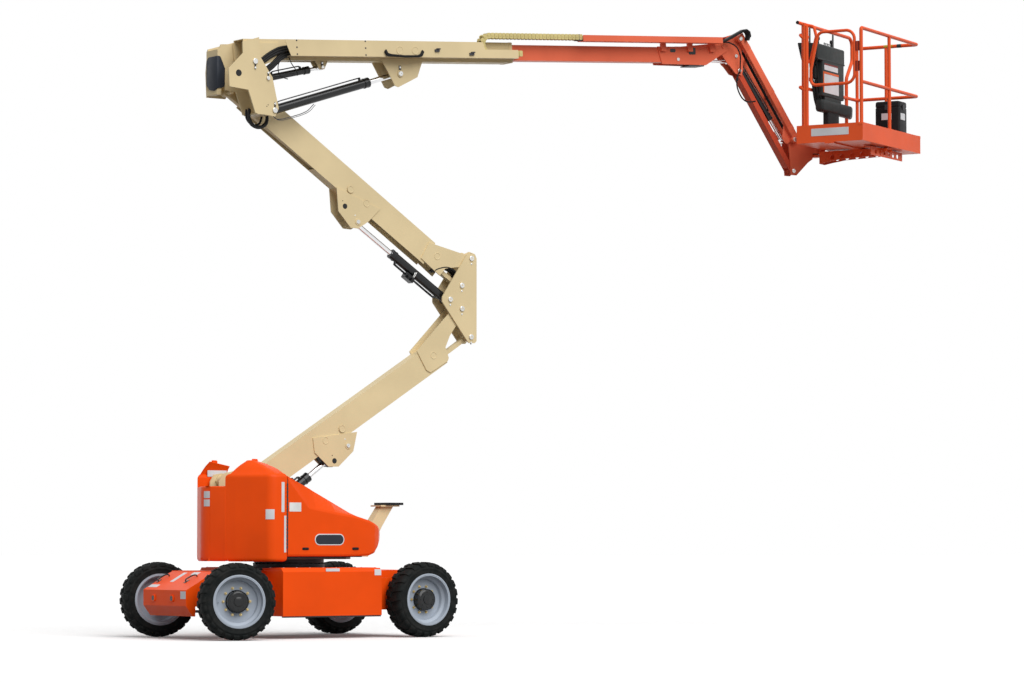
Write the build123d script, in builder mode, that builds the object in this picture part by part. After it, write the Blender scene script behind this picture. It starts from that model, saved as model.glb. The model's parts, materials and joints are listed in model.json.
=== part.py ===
from build123d import *
import os
from math import atan2, cos, degrees, hypot, radians, sin

os.makedirs("parts", exist_ok=True)

# ---------------------------------------------------------------- driving sizes (mm)
# The origin is on the ground, on the slewing axis.  +X is the way the boom points,
# +Y the far side from the tool box, +Z up.

# wheels and axles
WHEELBASE = 2020
TRACK = 1510
TYRE_R = 355
TYRE_W = 240
RIM_R = 232
HUB_R = 99
KINGPIN_INSET = 75            # kingpin inboard of the wheel's middle plane
STEER_REST = -17.3            # degrees about +Z, as parked

# chassis
SIDE_BOX = dict(x0=-530, x1=560, y=750, z0=212, z1=655)
SPINE = dict(x0=-1040, x1=1240, half=400, z0=305, z1=630)
NOSE_X = -1350
DECK_Z = 655

# slewing ring and turret
RING_R = 330
TURRET_Z = 755
TURRET_HALF = 670
SEAM_X = -434                 # between the front and rear hoods
HOOD_WALL = 20
HOOD_LOW = TURRET_Z + 5
EAVE_Z = 1530
CREST_Z = 1655
TAIL_TOP = 1415               # the rear between the two roofs

# the two lifting planes: the boom hangs beside the tower, so that it can pass it
BOOM_Y = 0
TOWER_Y = 220

# tower: two equal arms with a timing link inside each
ARM_LENGTH = 3176.5
ARM_TILT = 32.93              # degrees above the ground, as parked
KNEE_LOW = (2085, 3194)       # lower arm's pin in the knee, (x, z)
KNEE_HIGH = (2199, 3697)      # upper arm's pin in the knee
LINK_LOW = (110, -276)        # lower link's pins from the arm's pins
LINK_HIGH = (-115, -273)      # upper link's pins from the arm's pins
ARM_W = 120
ARM_HALF_H = 127
ARM_WALL = 6
CHEEK = 10                    # arm's cheek plates
JAW_GAP = 150                 # between the plates that hold an arm
JAW = 14                      # thickness of those plates

# boom
BOOM_PIN = (-467, 5424)
BOOM_TILT = 3.95
BASE_W = 170
FLY_W = 130
JIB_LENGTH = 1240
JIB_TILT = -54

# platform
PLATFORM_TURN = 25.1          # long side from +X, degrees
PLATFORM_CORNER = (6226, -1130, 5028)
PLATFORM_L = 1520
PLATFORM_W = 745
KICK_H = 180
RAIL_TOP = 1162
RAIL_MID = 605
RAIL_R = 19
ROTATOR_GAP = 145             # rotator axis outside the console side

PLAY = 0.5                    # radial play of a pin in its bore

tower_tilt = radians(ARM_TILT)
arm_run = ARM_LENGTH * cos(tower_tilt)
arm_rise = ARM_LENGTH * sin(tower_tilt)
TOWER_FOOT = (KNEE_LOW[0] - arm_run, KNEE_LOW[1] - arm_rise)
TOWER_HEAD = (KNEE_HIGH[0] - arm_run, KNEE_HIGH[1] + arm_rise)


# ---------------------------------------------------------------- helpers
def upright(point, tilt=0.0, y=0.0):
    """A plane across Y at (x, z): local x runs at the tilt above +X."""
    along = (cos(radians(tilt)), 0, sin(radians(tilt)))
    return Plane(origin=(point[0], y, point[1]), x_dir=along, z_dir=(0, -1, 0))


def plate(plane, outline, y, thickness, corner=0, bores=()):
    """A flat plate across Y from an outline of (along, up) points, with (along, up, r) bores."""
    middle = Plane(origin=plane.origin + Vector(0, y, 0), x_dir=plane.x_dir, z_dir=plane.z_dir)
    with BuildPart() as made:
        with BuildSketch(middle) as face:
            with BuildLine():
                Polyline(*outline, close=True)
            make_face()
            if corner:
                fillet(face.vertices(), corner)
            for along, up, radius in bores:
                with Locations((along, up)):
                    Circle(radius, mode=Mode.SUBTRACT)
        extrude(amount=thickness / 2, both=True)
    return made.part


def slab(plane, x0, x1, h0, h1, y, thickness, corner=0):
    """A rectangular plate across Y."""
    return plate(plane, [(x0, h0), (x1, h0), (x1, h1), (x0, h1)], y, thickness, corner)


def box(x0, x1, y0, y1, z0, z1):
    """A block between two corners."""
    with BuildPart() as made:
        with Locations(((x0 + x1) / 2, (y0 + y1) / 2, (z0 + z1) / 2)):
            Box(x1 - x0, y1 - y0, z1 - z0)
    return made.part


def bar(start, end, radius, bore=0):
    """A round bar, or a pipe, between two points."""
    axis = Vector(*end) - Vector(*start)
    with BuildPart() as made:
        with BuildSketch(Plane(origin=start, z_dir=axis)):
            Circle(radius)
            if bore:
                Circle(bore, mode=Mode.SUBTRACT)
        extrude(amount=axis.length)
    return made.part


def tube(plane, start, end, y, width, height, wall=0):
    """A box section between two (along, up) points of an upright plane; no wall means solid."""
    a, b = in_space(plane, *start), in_space(plane, *end)
    axis = Vector(b[0] - a[0], 0, b[1] - a[1])
    with BuildPart() as made:
        with BuildSketch(Plane(origin=(a[0], y, a[1]), x_dir=(0, 1, 0), z_dir=axis)):
            Rectangle(width, height)
            if wall:
                Rectangle(width - 2 * wall, height - 2 * wall, mode=Mode.SUBTRACT)
        extrude(amount=axis.length)
    return made.part


def pin(point, y0, y1, radius):
    """A pin across Y at (x, z)."""
    return bar((point[0], y0, point[1]), (point[0], y1, point[1]), radius)


def in_space(plane, along, up):
    """The (x, z) point of an (along, up) point in an upright plane."""
    found = plane.from_local_coords((along, up, 0))
    return (found.X, found.Z)


def between(a, b, share=None, reach=None):
    """A point on the way from a to b, by share of the way or by reach in mm."""
    length = hypot(b[0] - a[0], b[1] - a[1])
    part = share if reach is None else reach / length
    return (a[0] + (b[0] - a[0]) * part, a[1] + (b[1] - a[1]) * part)


def heading(a, b):
    """Degrees above +X of the line from a to b."""
    return degrees(atan2(b[1] - a[1], b[0] - a[0]))


def export(builder, name):
    builder.part.label = name
    export_step(builder.part, f"parts/{name}.step")


# ---------------------------------------------------------------- chassis
front_x = -WHEELBASE / 2
rear_x = WHEELBASE / 2

with BuildPart() as chassis_frame:
    add(box(SPINE["x0"], SPINE["x1"], -SPINE["half"], SPINE["half"], SPINE["z0"], SPINE["z1"]))
    for side in (-1, 1):
        y_out, y_in = side * SIDE_BOX["y"], side * (SPINE["half"] - 10)
        add(box(SIDE_BOX["x0"], SIDE_BOX["x1"], min(y_out, y_in), max(y_out, y_in),
                SIDE_BOX["z0"], SIDE_BOX["z1"]))
        y_out = side * 600
        add(box(SIDE_BOX["x1"] - 5, rear_x - 380 + 130, min(y_out, y_in), max(y_out, y_in), 260, 560))
    long_edges = chassis_frame.edges().filter_by(Axis.X).group_by(Axis.Z)[-1]
    outer = [e for e in long_edges if abs(e.center().Y) > SIDE_BOX["y"] - 1]
    chamfer(outer, 34)
    with BuildSketch(Plane.XZ):
        with BuildLine():
            Polyline((NOSE_X, 310), (NOSE_X, 455), (SPINE["x0"], SPINE["z1"] - 5), (SPINE["x0"], 305),
                     (NOSE_X + 100, 305), (NOSE_X + 100, 215), (NOSE_X + 75, 215), close=True)
        make_face()
    extrude(amount=SPINE["half"] - 10, both=True)
export(chassis_frame, "chassis_frame")

with BuildPart() as ring_lower:
    with BuildSketch(Plane.XY.offset(SPINE["z1"])):
        Circle(RING_R)
    extrude(amount=55)
export(ring_lower, "slewing_ring_lower")

# axles: a beam with a kingpin boss at each end in front, a plain beam with hub motors behind
KINGPIN_R = 16
STUB_R = 30
KINGPIN_Y = TRACK / 2 - KINGPIN_INSET
BOSS_R = 40
with BuildPart() as front_axle:
    for side in (-1, 1):
        inner, outer = sorted((side * SPINE["half"], side * KINGPIN_Y))
        add(box(front_x - 45, front_x + 45, inner, outer, TYRE_R - 50, TYRE_R + 50))
        add(bar((front_x, side * KINGPIN_Y, TYRE_R - 60), (front_x, side * KINGPIN_Y, TYRE_R + 60), BOSS_R + 5))
        with Locations((front_x, side * KINGPIN_Y, TYRE_R)):
            Cylinder(KINGPIN_R + PLAY, 200, mode=Mode.SUBTRACT)
export(front_axle, "front_axle")

with BuildPart() as rear_axle:
    for side in (-1, 1):
        for y0, y1, radius in ((SPINE["half"], 560, 120), (560, TRACK / 2 - 10, 95),
                               (TRACK / 2 - 10, TRACK / 2 + 55, STUB_R)):
            add(bar((rear_x, side * y0, TYRE_R), (rear_x, side * y1, TYRE_R), radius))
export(rear_axle, "rear_axle")

# knuckles hold the kingpin in two ears, and carry a stub for the wheel and an arm for the tie rod
EAR = (65, 85)                # from the axle's height
EYE = (140, 130)              # tie rod's eye from the kingpin: back, inboard
ROD_Z = TYRE_R - 107
steer_axes = (cos(radians(STEER_REST)), sin(radians(STEER_REST)), 0)


def steered(side):
    """A level plane at a kingpin, turned with its wheel, at the axle's height."""
    return Plane(origin=(front_x, side * KINGPIN_Y, TYRE_R), x_dir=steer_axes, z_dir=(0, 0, 1))


def eye_of(side):
    """The tie rod's eye on one knuckle, at the rod's height."""
    found = steered(side).from_local_coords((EYE[0], -side * EYE[1], ROD_Z - TYRE_R))
    return tuple(found)


for side, name in ((-1, "near"), (1, "far")):
    turned = steered(side)
    with BuildPart() as knuckle:
        for low, arm in ((EAR[0], False), (-EAR[1], True)):
            with BuildSketch(turned.offset(low)):
                Circle(BOSS_R)
                with BuildLine():
                    Polyline((-45, 0), (45, 0), (55, side * 66), (-55, side * 66), close=True)
                make_face()
                if arm:
                    with BuildLine():
                        Polyline((-30, 25 * side), (30, 25 * side), (EYE[0] + 20, -side * EYE[1] + side * 14),
                                 (EYE[0] - 16, -side * EYE[1] - side * 14), close=True)
                    make_face()
                    with Locations((EYE[0], -side * EYE[1])):
                        Circle(26)
            extrude(amount=EAR[1] - EAR[0])
        with BuildSketch(turned.offset(-EAR[1])):
            with Locations((0, side * 59)):
                Rectangle(110, 14)
        extrude(amount=2 * EAR[1])
        with BuildSketch(turned.offset(-EAR[1] - 8)):
            Circle(KINGPIN_R)
        extrude(amount=2 * EAR[1] + 16)
        stub_root = turned.from_local_coords((0, side * 60, 0))
        stub_tip = turned.from_local_coords((0, side * (KINGPIN_INSET + 55), 0))
        add(bar(tuple(stub_root), tuple(stub_tip), STUB_R))
    export(knuckle, f"knuckle_{name}")

with BuildPart() as tie_rod:
    near_eye, far_eye = eye_of(-1), eye_of(1)
    add(bar(near_eye, far_eye, 13))
    for eye in (near_eye, far_eye):
        add(bar((eye[0], eye[1], ROD_Z - 13), (eye[0], eye[1], ROD_Z + 13), 24))
export(tie_rod, "tie_rod")

# wheels
TYRE_SECTION = [(RIM_R, -97), (RIM_R + 14, -102.5), (RIM_R + 16, -TYRE_W / 2 + 4), (RIM_R + 30, -TYRE_W / 2),
                (TYRE_R - 40, -TYRE_W / 2), (TYRE_R, -TYRE_W / 2 + 28), (TYRE_R, TYRE_W / 2 - 28),
                (TYRE_R - 40, TYRE_W / 2), (RIM_R + 30, TYRE_W / 2), (RIM_R + 16, TYRE_W / 2 - 4),
                (RIM_R + 14, 102.5), (RIM_R, 97)]
RIM_SECTION = [(RIM_R - 9, -118), (RIM_R + 12, -118), (RIM_R + 12, -104), (RIM_R - 0.3, -98), (RIM_R - 0.3, 98),
               (RIM_R + 12, 104), (RIM_R + 12, 118), (RIM_R - 9, 118), (RIM_R - 12, 62), (195, 46), (188, 14),
               (HUB_R, 10), (HUB_R, 78), (78, 92), (0, 92), (0, 70), (STUB_R + PLAY, 70), (STUB_R + PLAY, -4),
               (RIM_R - 34, -4), (RIM_R - 24, -16), (RIM_R - 24, -98)]


def wheel_plane(x, side, turn=0.0):
    """A plane through a wheel's axle: local x is the radius, local y runs outboard."""
    out = Vector(0, side, 0).rotate(Axis.Z, turn)
    return Plane(origin=(x, side * TRACK / 2, TYRE_R) if not turn else
                 tuple(steered(side).from_local_coords((0, side * KINGPIN_INSET, 0))),
                 x_dir=(0, 0, 1), z_dir=Vector(0, 0, 1).cross(out))


WHEELS = (("front_near", front_x, -1, STEER_REST), ("front_far", front_x, 1, STEER_REST),
          ("rear_near", rear_x, -1, 0), ("rear_far", rear_x, 1, 0))
for name, x, side, turn in WHEELS:
    section_plane = wheel_plane(x, side, turn)
    axle = Axis(section_plane.origin, section_plane.y_dir)
    for piece, outline in (("tyre", TYRE_SECTION), ("rim", RIM_SECTION)):
        with BuildPart() as made:
            with BuildSketch(section_plane):
                with BuildLine():
                    Polyline(*outline, close=True)
                make_face()
            revolve(axis=axle)
        export(made, f"{piece}_{name}")

# ---------------------------------------------------------------- turret
jaw_y = [TOWER_Y - JAW_GAP / 2 - JAW / 2, TOWER_Y + JAW_GAP / 2 + JAW / 2]
link_foot = (TOWER_FOOT[0] + LINK_LOW[0], TOWER_FOOT[1] + LINK_LOW[1])
lift_low_foot = (-274, 1061)
lift_low_eye = (763, 1823)
world = upright((0, 0))
PIN_R = 24
HEAD = 12                     # pin heads stand this far out of the jaws
DECK_R = 880                  # turntable plate


def jaw_pin(point, radius=PIN_R):
    """A pin held in the tower's jaws."""
    return pin(point, jaw_y[0] - JAW / 2 - HEAD, jaw_y[1] + JAW / 2 + HEAD, radius)


with BuildPart() as turntable:
    with BuildSketch(Plane.XY.offset(TURRET_Z - 20)):
        Circle(DECK_R)
        Rectangle(2 * DECK_R, 2 * (TURRET_HALF - 30), mode=Mode.INTERSECT)
    extrude(amount=20)
    with BuildSketch(Plane.XY.offset(SPINE["z1"] + 55)):
        Circle(RING_R - 10)
    extrude(amount=TURRET_Z - SPINE["z1"] - 70)
export(turntable, "turntable")

with BuildPart() as tower_base:
    foot_outline = [(-700, TURRET_Z), (-690, 1460), (-650, 1530), (-560, 1545), (-490, 1500), (-190, 1130),
                    (-190, TURRET_Z)]
    for y in jaw_y:
        add(plate(world, foot_outline, y, JAW))
    add(slab(world, -704, -690, TURRET_Z, 1380, TOWER_Y, JAW_GAP + 2 * JAW))
    for point in (TOWER_FOOT, link_foot, lift_low_foot):
        add(jaw_pin(point))
export(tower_base, "tower_base")

with BuildPart() as boom_rest:
    add(slab(world, 700, 860, TURRET_Z, TURRET_Z + 20, 0, 120))
    post_outline = [(800, TURRET_Z), (860, TURRET_Z), (1020, 1040), (1154, 1240), (1020, 1240), (890, 1060)]
    add(plate(world, post_outline, 0, 100))
    add(slab(world, 985, 1200, 1236, 1250, 0, 180))
export(boom_rest, "boom_rest")

with BuildPart() as rest_pad:
    add(slab(world, 1039, 1231, 1251, 1274, 0, 220))
export(rest_pad, "boom_rest_pad")


# hoods are thin shells: each is the space between two stacks of outlines
def inset(outline, depth):
    """A closed outline moved inward; it runs anticlockwise."""
    moved = []
    for before, here, after in zip(outline[-1:] + outline[:-1], outline, outline[1:] + outline[:1]):
        a = radians(heading(before, here) + 90)
        b = radians(heading(here, after) + 90)
        reach = depth / (1 + cos(b - a))
        moved.append((here[0] + reach * (cos(a) + cos(b)), here[1] + reach * (sin(a) + sin(b))))
    return moved


def stack(levels):
    """A solid through level outlines: (z, outline) pairs with equally many corners."""
    with BuildPart() as made:
        for z, outline in levels:
            with BuildSketch(Plane.XY.offset(z)):
                with BuildLine():
                    Polyline(*outline, close=True)
                make_face()
        loft(ruled=True)
    return made.part


def mirrored(outline, side):
    """The outline on its own side of the machine, still anticlockwise."""
    return outline if side < 0 else [(x, -y) for x, y in reversed(outline)]


SEAM_GAP = 5                  # half the gap between a front and a rear hood
rear_end = SEAM_X - SEAM_GAP
REAR_SKIN = [(-634, -617), (-612, -650), (-578, -666), (-540, -TURRET_HALF)]
TAIL_SKIN = (-800, -345)
CREST = [(-660, -345), (-655, -375), (-640, -390), (-610, -395), (-575, -385)]
for name, side, inner, tail_y in (("hood_rear_near", -1, -250, -85), ("hood_rear_far", 1, -345, 75)):
    with BuildPart() as hood:
        eave = [(-852, inner), TAIL_SKIN] if inner > TAIL_SKIN[1] + 1 else [(-840, inner + 10), (-799, inner - 1)]
        roof = eave + REAR_SKIN + [(rear_end, -TURRET_HALF), (rear_end, inner)]
        crest = [(-670, -335)] + CREST + [(-562, -365), (-562, -335)]
        for depth, mode in ((0, Mode.ADD), (HOOD_WALL, Mode.SUBTRACT)):
            base_levels = [(HOOD_LOW, 38), (HOOD_LOW + 14, 14), (HOOD_LOW + 45, 0), (EAVE_Z - 30, 0), (EAVE_Z, 10)]
            levels = []
            for z, rounding in base_levels:
                z = z + depth if z < EAVE_Z - 100 else z - depth
                levels.append((z, mirrored(inset(roof, rounding + depth), side)))
            levels.append((CREST_Z - depth, mirrored(inset(crest, depth * 0.4), side)))
            add(stack(levels), mode=mode)
        add(box(rear_end - HOOD_WALL - 1, rear_end + 10, *sorted((side * (TURRET_HALF - 25), -side * (inner + 25))),
                HOOD_LOW + 45, EAVE_Z - 60), mode=Mode.SUBTRACT)
        if side < 0:
            tail = [(-830, inner), (-852, inner - 1), (-921, tail_y), (-885, tail_y)]
            add(stack([(z, inset(tail, d)) for z, d in ((HOOD_LOW, 8), (HOOD_LOW + 45, 0), (TAIL_TOP, 0))]))
        else:
            tail = [(-921, -tail_y), (-939, -40), (-944, 0), (-939, 40), (-921, 75), (-792, 355), (-762, 347),
                    (-885, 85), (-885, -tail_y)]
            add(stack([(z, tail[::-1]) for z in (HOOD_LOW, TAIL_TOP)]))
    export(hood, name)


def ribbed(sections):
    """A solid through upright outlines of (y, z) points, at several places along X."""
    with BuildPart() as made:
        for x, outline in sections:
            with BuildSketch(Plane(origin=(x, 0, 0), x_dir=(0, 1, 0), z_dir=(1, 0, 0))):
                with BuildLine():
                    Polyline(*outline, close=True)
                make_face()
        loft(ruled=True)
    return made.part


# the front hoods: x, outer y, bottom z, crease z, ridge (y, z)
FRONT_RIBS = ((SEAM_X + SEAM_GAP, 670, 760, 1490, 640, 1512), (-199, 670, 760, 1224, 622, 1411),
              (-120, 670, 760, 1207, 600, 1376), (333, 670, 761, 1134, 520, 1178), (480, 660, 768, 1095, 490, 1112),
              (570, 628, 850, 1058, 470, 1072), (640, 575, 905, 1028, 450, 1040), (700, 500, 930, 1004, 420, 1014),
              (760, 400, 945, 982, 360, 988))
for name, side, inner in (("hood_front_near", -1, 270), ("hood_front_far", 1, 350)):
    with BuildPart() as hood:
        for depth, mode in ((0, Mode.ADD), (HOOD_WALL, Mode.SUBTRACT)):
            sections = []
            for x, out, low, crease, ridge, top in FRONT_RIBS:
                end = x - depth if x > 600 else x - (1 if depth and x < SEAM_X + 10 else 0)
                inside = inner - depth
                rib = [(inside, low - (1 if depth else 0)), (out - depth, low - (1 if depth else 0)),
                       (out - depth, crease - depth), (min(ridge, out - 30) - depth * 0.6, top - depth),
                       (inside, top - 12 - depth)]
                rib = [(side * y, z) for y, z in rib]
                sections.append((end, rib if side > 0 else rib[::-1]))
            add(ribbed(sections), mode=mode)
    export(hood, name)

# what the hoods cover: battery packs and the hydraulic tank, as plain blocks
BLOCKS = (("batteries_near", -400, 420, -620, -300, TURRET_Z, 1010),
          ("batteries_far", -400, 420, 400, 620, TURRET_Z, 1010),
          ("counterweight", -858, -716, -120, 80, TURRET_Z, 1350),
          ("counterweight", -780, -716, 80, 300, TURRET_Z, 1350))
for node in ("batteries", "counterweight"):
    with BuildPart() as blocks:
        for name, x0, x1, y0, y1, z0, z1 in BLOCKS:
            if name.startswith(node):
                add(box(x0, x1, y0, y1, z0, z1))
    export(blocks, node)

# ---------------------------------------------------------------- tower
lower = upright(TOWER_FOOT, ARM_TILT)
upper = upright(KNEE_HIGH, 180 - ARM_TILT)     # its local "up" is the arm's underside
link_knee = (KNEE_LOW[0] + LINK_LOW[0], KNEE_LOW[1] + LINK_LOW[1])
upper_link_knee = (KNEE_HIGH[0] + LINK_HIGH[0], KNEE_HIGH[1] + LINK_HIGH[1])
upper_link_head = (TOWER_HEAD[0] + LINK_HIGH[0], TOWER_HEAD[1] + LINK_HIGH[1])
lift_high_foot = (1945, 3281)
lift_high_eye = (872, 3992)
ear_y = ARM_W / 2 + CHEEK / 2                  # middle of an arm's cheek plates
HUB = 50
LINK_W, LINK_H = 56, 40


def cheeks(plane, outline, corner=0, bores=()):
    """A pair of cheek plates on the sides of a tower arm."""
    with BuildPart() as made:
        for side in (-1, 1):
            add(plate(plane, outline, TOWER_Y + side * ear_y, CHEEK, corner, bores))
    return made.part


def bored(builder, points, radius, y0=-400, y1=400):
    """Bores right across a part at (x, z) points, larger than their pins by the play."""
    for point in points:
        add(pin(point, y0, y1, radius + PLAY), mode=Mode.SUBTRACT)


with BuildPart() as lower_arm:
    add(tube(lower, (162, -205), (2760, -240), TOWER_Y, ARM_W, 2 * ARM_HALF_H, ARM_WALL))
    add(slab(lower, 300, 1420, -350, -300, TOWER_Y, ARM_W - 2 * ARM_WALL), mode=Mode.SUBTRACT)
    add(cheeks(lower, [(-50, -40), (-45, 35), (20, 62), (430, -85), (430, -290), (172, -292), (118, -205),
                       (15, -64)]))
    add(cheeks(world, [(1564, 2760), (1930, 3130), (2050, 3256), (2140, 3236), (2150, 3170), (2028, 3025),
                       (1954, 2923), (1902, 2808), (1942, 2705), (1931, 2673), (1726, 2554), (1677, 2578)]))
    add(cheeks(world, [(364, 1890), (384, 1751), (543, 1618), (655, 1619), (824, 1770), (867, 1957)]))
    for point in (TOWER_FOOT, KNEE_LOW):
        add(pin(point, TOWER_Y - ear_y, TOWER_Y + ear_y, HUB))
    for side in (-1, 1):
        add(pin(lift_low_eye, TOWER_Y + side * (ARM_W / 2 - 8), TOWER_Y + side * (ARM_W / 2 + CHEEK + 4), 34))
    bored(lower_arm, (TOWER_FOOT, KNEE_LOW), PIN_R)
export(lower_arm, "lower_arm")

with BuildPart() as upper_arm:
    add(tube(upper, (420, 240), (2925, 190), TOWER_Y, ARM_W, 2 * ARM_HALF_H, ARM_WALL))
    for x0, x1 in ((415, 1400), (1950, 2940)):
        add(slab(upper, x0, x1, 296, 380, TOWER_Y, ARM_W - 2 * ARM_WALL), mode=Mode.SUBTRACT)
    head_outline = [(50, -40), (45, 35), (10, 62), (-110, 120), (-200, 165), (-262, 225), (-300, 292), (-430, 290),
                    (-430, 85), (-20, -62), (30, -60)]
    add(cheeks(upper, [(ARM_LENGTH + along, up) for along, up in head_outline]))
    add(cheeks(world, [(1705, 3832), (1612, 3673), (1834, 3511), (1898, 3583), (2062, 3607), (2150, 3640),
                       (2262, 3690), (2245, 3745), (2185, 3762), (2120, 3735)]))
    add(cheeks(world, [(626, 4313), (647, 4085), (787, 3932), (876, 3927), (994, 4002), (1127, 4130)]))
    for point in (KNEE_HIGH, TOWER_HEAD):
        add(pin(point, TOWER_Y - ear_y, TOWER_Y + ear_y, HUB))
    for side in (-1, 1):
        add(pin(lift_high_eye, TOWER_Y + side * (ARM_W / 2 - 8), TOWER_Y + side * (ARM_W / 2 + CHEEK + 4), 34))
    bored(upper_arm, (KNEE_HIGH, TOWER_HEAD), PIN_R)
export(upper_arm, "upper_arm")

LINKS = (("lower_link", link_foot, link_knee), ("upper_link", upper_link_knee, upper_link_head))
for name, foot, head_end in LINKS:
    with BuildPart() as link:
        along = upright(foot, heading(foot, head_end))
        add(tube(along, (0, 0), (ARM_LENGTH, 0), TOWER_Y, LINK_W, LINK_H))
        for point in (foot, head_end):
            add(pin(point, TOWER_Y - LINK_W / 2 - 10, TOWER_Y + LINK_W / 2 + 10, 40))
        bored(link, (foot, head_end), PIN_R)
    export(link, name)

with BuildPart() as knee:
    knee_outline = [(2139, 3724), (2168, 3742), (2240, 3742), (2262, 3700), (2262, 2880), (2240, 2858), (2170, 2858),
                    (2140, 2890), (1850, 3255), (1850, 3300)]
    for y in jaw_y:
        add(plate(world, knee_outline, y, JAW))
    add(slab(world, 2236, 2250, 3040, 3560, TOWER_Y, JAW_GAP + 2 * JAW))
    for point in (KNEE_HIGH, upper_link_knee, lift_high_foot, KNEE_LOW, link_knee):
        add(jaw_pin(point))
export(knee, "knee")


# ---------------------------------------------------------------- cylinders
def barrel_of(foot, eye, y, reach, radius, bore, width, pin_r):
    """A cylinder's barrel from the foot's eye to its gland, open for the rod."""
    with BuildPart() as made:
        start = between(foot, eye, reach=radius * 0.6)
        end = between(foot, eye, reach=reach)
        add(bar((start[0], y, start[1]), (end[0], y, end[1]), radius))
        gland = between(foot, eye, reach=reach - 60)
        add(bar((gland[0], y, gland[1]), (end[0], y, end[1]), radius + 4))
        add(pin(foot, y - width / 2, y + width / 2, radius * 0.92))
        inner = between(foot, eye, reach=radius + 25)
        beyond = between(foot, eye, reach=reach + 5)
        add(bar((inner[0], y, inner[1]), (beyond[0], y, beyond[1]), bore), mode=Mode.SUBTRACT)
        add(pin(foot, y - width, y + width, pin_r + PLAY), mode=Mode.SUBTRACT)
    return made.part


def rod_of(foot, eye, y, length, radius, eye_r, width):
    """A cylinder's rod with its eye; the eye's bore is open, and wider than the pin it rides."""
    with BuildPart() as made:
        back = between(eye, foot, reach=length)
        front = between(eye, foot, reach=eye_r * 0.8)
        add(bar((back[0], y, back[1]), (front[0], y, front[1]), radius))
        add(pin(eye, y - width / 2, y + width / 2, eye_r))
        add(pin(eye, y - width, y + width, eye_r * 0.6), mode=Mode.SUBTRACT)
    return made.part


base = upright(BOOM_PIN, BOOM_TILT)            # along the boom, from its foot pin
lift_foot = (-247, 4974)
lift_eye = in_space(base, 1658, -104)
master_foot = (-323, 5274)
master_eye = in_space(base, 792, -43)
slave_foot = in_space(base, 5130, 70)
slave_eye = (5360, 5885)
nose_pin = (5240, 6030)
jib_along = (cos(radians(JIB_TILT)), sin(radians(JIB_TILT)))
jib_top = (5440, 6120)
jib_low = (5470, 5795)
jib_top_end = (jib_top[0] + JIB_LENGTH * jib_along[0], jib_top[1] + JIB_LENGTH * jib_along[1])
jib_low_end = (jib_low[0] + JIB_LENGTH * jib_along[0], jib_low[1] + JIB_LENGTH * jib_along[1])
jib_foot = (5426, 5945)
jib = upright(jib_top, JIB_TILT)
jib_eye = in_space(jib, 1200, -70)

# name, foot, eye, y, barrel's reach, barrel radius, rod length, rod radius, eye width, foot pin radius
CYLINDERS = (("tower_cylinder_low", lift_low_foot, lift_low_eye, TOWER_Y, 775, 44, 835, 26, 90, PIN_R),
             ("tower_cylinder_high", lift_high_foot, lift_high_eye, TOWER_Y, 775, 44, 850, 26, 90, PIN_R),
             ("lift_cylinder", lift_foot, lift_eye, BOOM_Y, 1188, 44, 940, 27, 90, PIN_R),
             ("master_cylinder", master_foot, master_eye, BOOM_Y, 540, 32, 430, 17, 60, 16),
             ("slave_cylinder", slave_foot, slave_eye, BOOM_Y, 420, 32, 390, 17, 60, 16),
             ("jib_cylinder", jib_foot, jib_eye, BOOM_Y, 797, 32, 700, 18, 60, 16))
for name, foot, eye, y, reach, radius, rod_length, rod_r, width, pin_r in CYLINDERS:
    with BuildPart() as barrel:
        add(barrel_of(foot, eye, y, reach, radius, rod_r + 0.5, width, pin_r))
    export(barrel, f"{name}_barrel")
    with BuildPart() as rod:
        add(rod_of(foot, eye, y, rod_length, rod_r, radius * 0.9, width))
    export(rod, f"{name}_rod")

# ---------------------------------------------------------------- upright at the tower's head
UPRIGHT_OUTLINE = [(-605, 5599), (-424, 5656), (-403, 5463), (-274, 5286), (-203, 4994), (-242, 4915), (-460, 4934),
                   (-539, 5148), (-745, 5166), (-756, 5334), (-600, 5490)]
inner_outline = UPRIGHT_OUTLINE[:8] + [(-662, 5160), (-659, 5362), (-735, 5528), (-707, 5590)]
with BuildPart() as upper_upright:
    add(plate(world, UPRIGHT_OUTLINE, -113, 14))
    add(plate(world, inner_outline, 113, 14))
    far_outline = [(-605, 5599), (-424, 5656), (-400, 5463), (-420, 5360), (-540, 5100), (-745, 5100), (-756, 5334),
                   (-735, 5560)]
    add(plate(world, far_outline, 302, 14))
    add(slab(world, -745, -705, 5170, 5540, TOWER_Y - 13.5, 203))
    add(pin(TOWER_HEAD, -125, 316, PIN_R))
    add(pin(upper_link_head, 110, 316, PIN_R))
    add(pin(lift_foot, -125, 125, PIN_R))
    add(pin(master_foot, -125, 125, 16))
    add(slab(world, -440, -280, 4926, 4940, 0, 240))
export(upper_upright, "upper_upright")

REAR_FACE_X = -745
COVER_FACE = [(290, 5215), (290, 5445), (255, 5478), (98, 5478), (98, 5165), (150, 5147), (237, 5162)]
COVER_SIDE = [(REAR_FACE_X - 15, 5165), (-665, 5185), (-665, 5362), (-716, 5478), (REAR_FACE_X - 15, 5478)]
with BuildPart() as end_cover:
    with BuildSketch(Plane.YZ.offset(REAR_FACE_X - 15)):
        Polygon(*COVER_FACE, align=None)
    extrude(amount=14)
    add(plate(world, COVER_SIDE, 101, 6))
export(end_cover, "end_cover")

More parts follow.
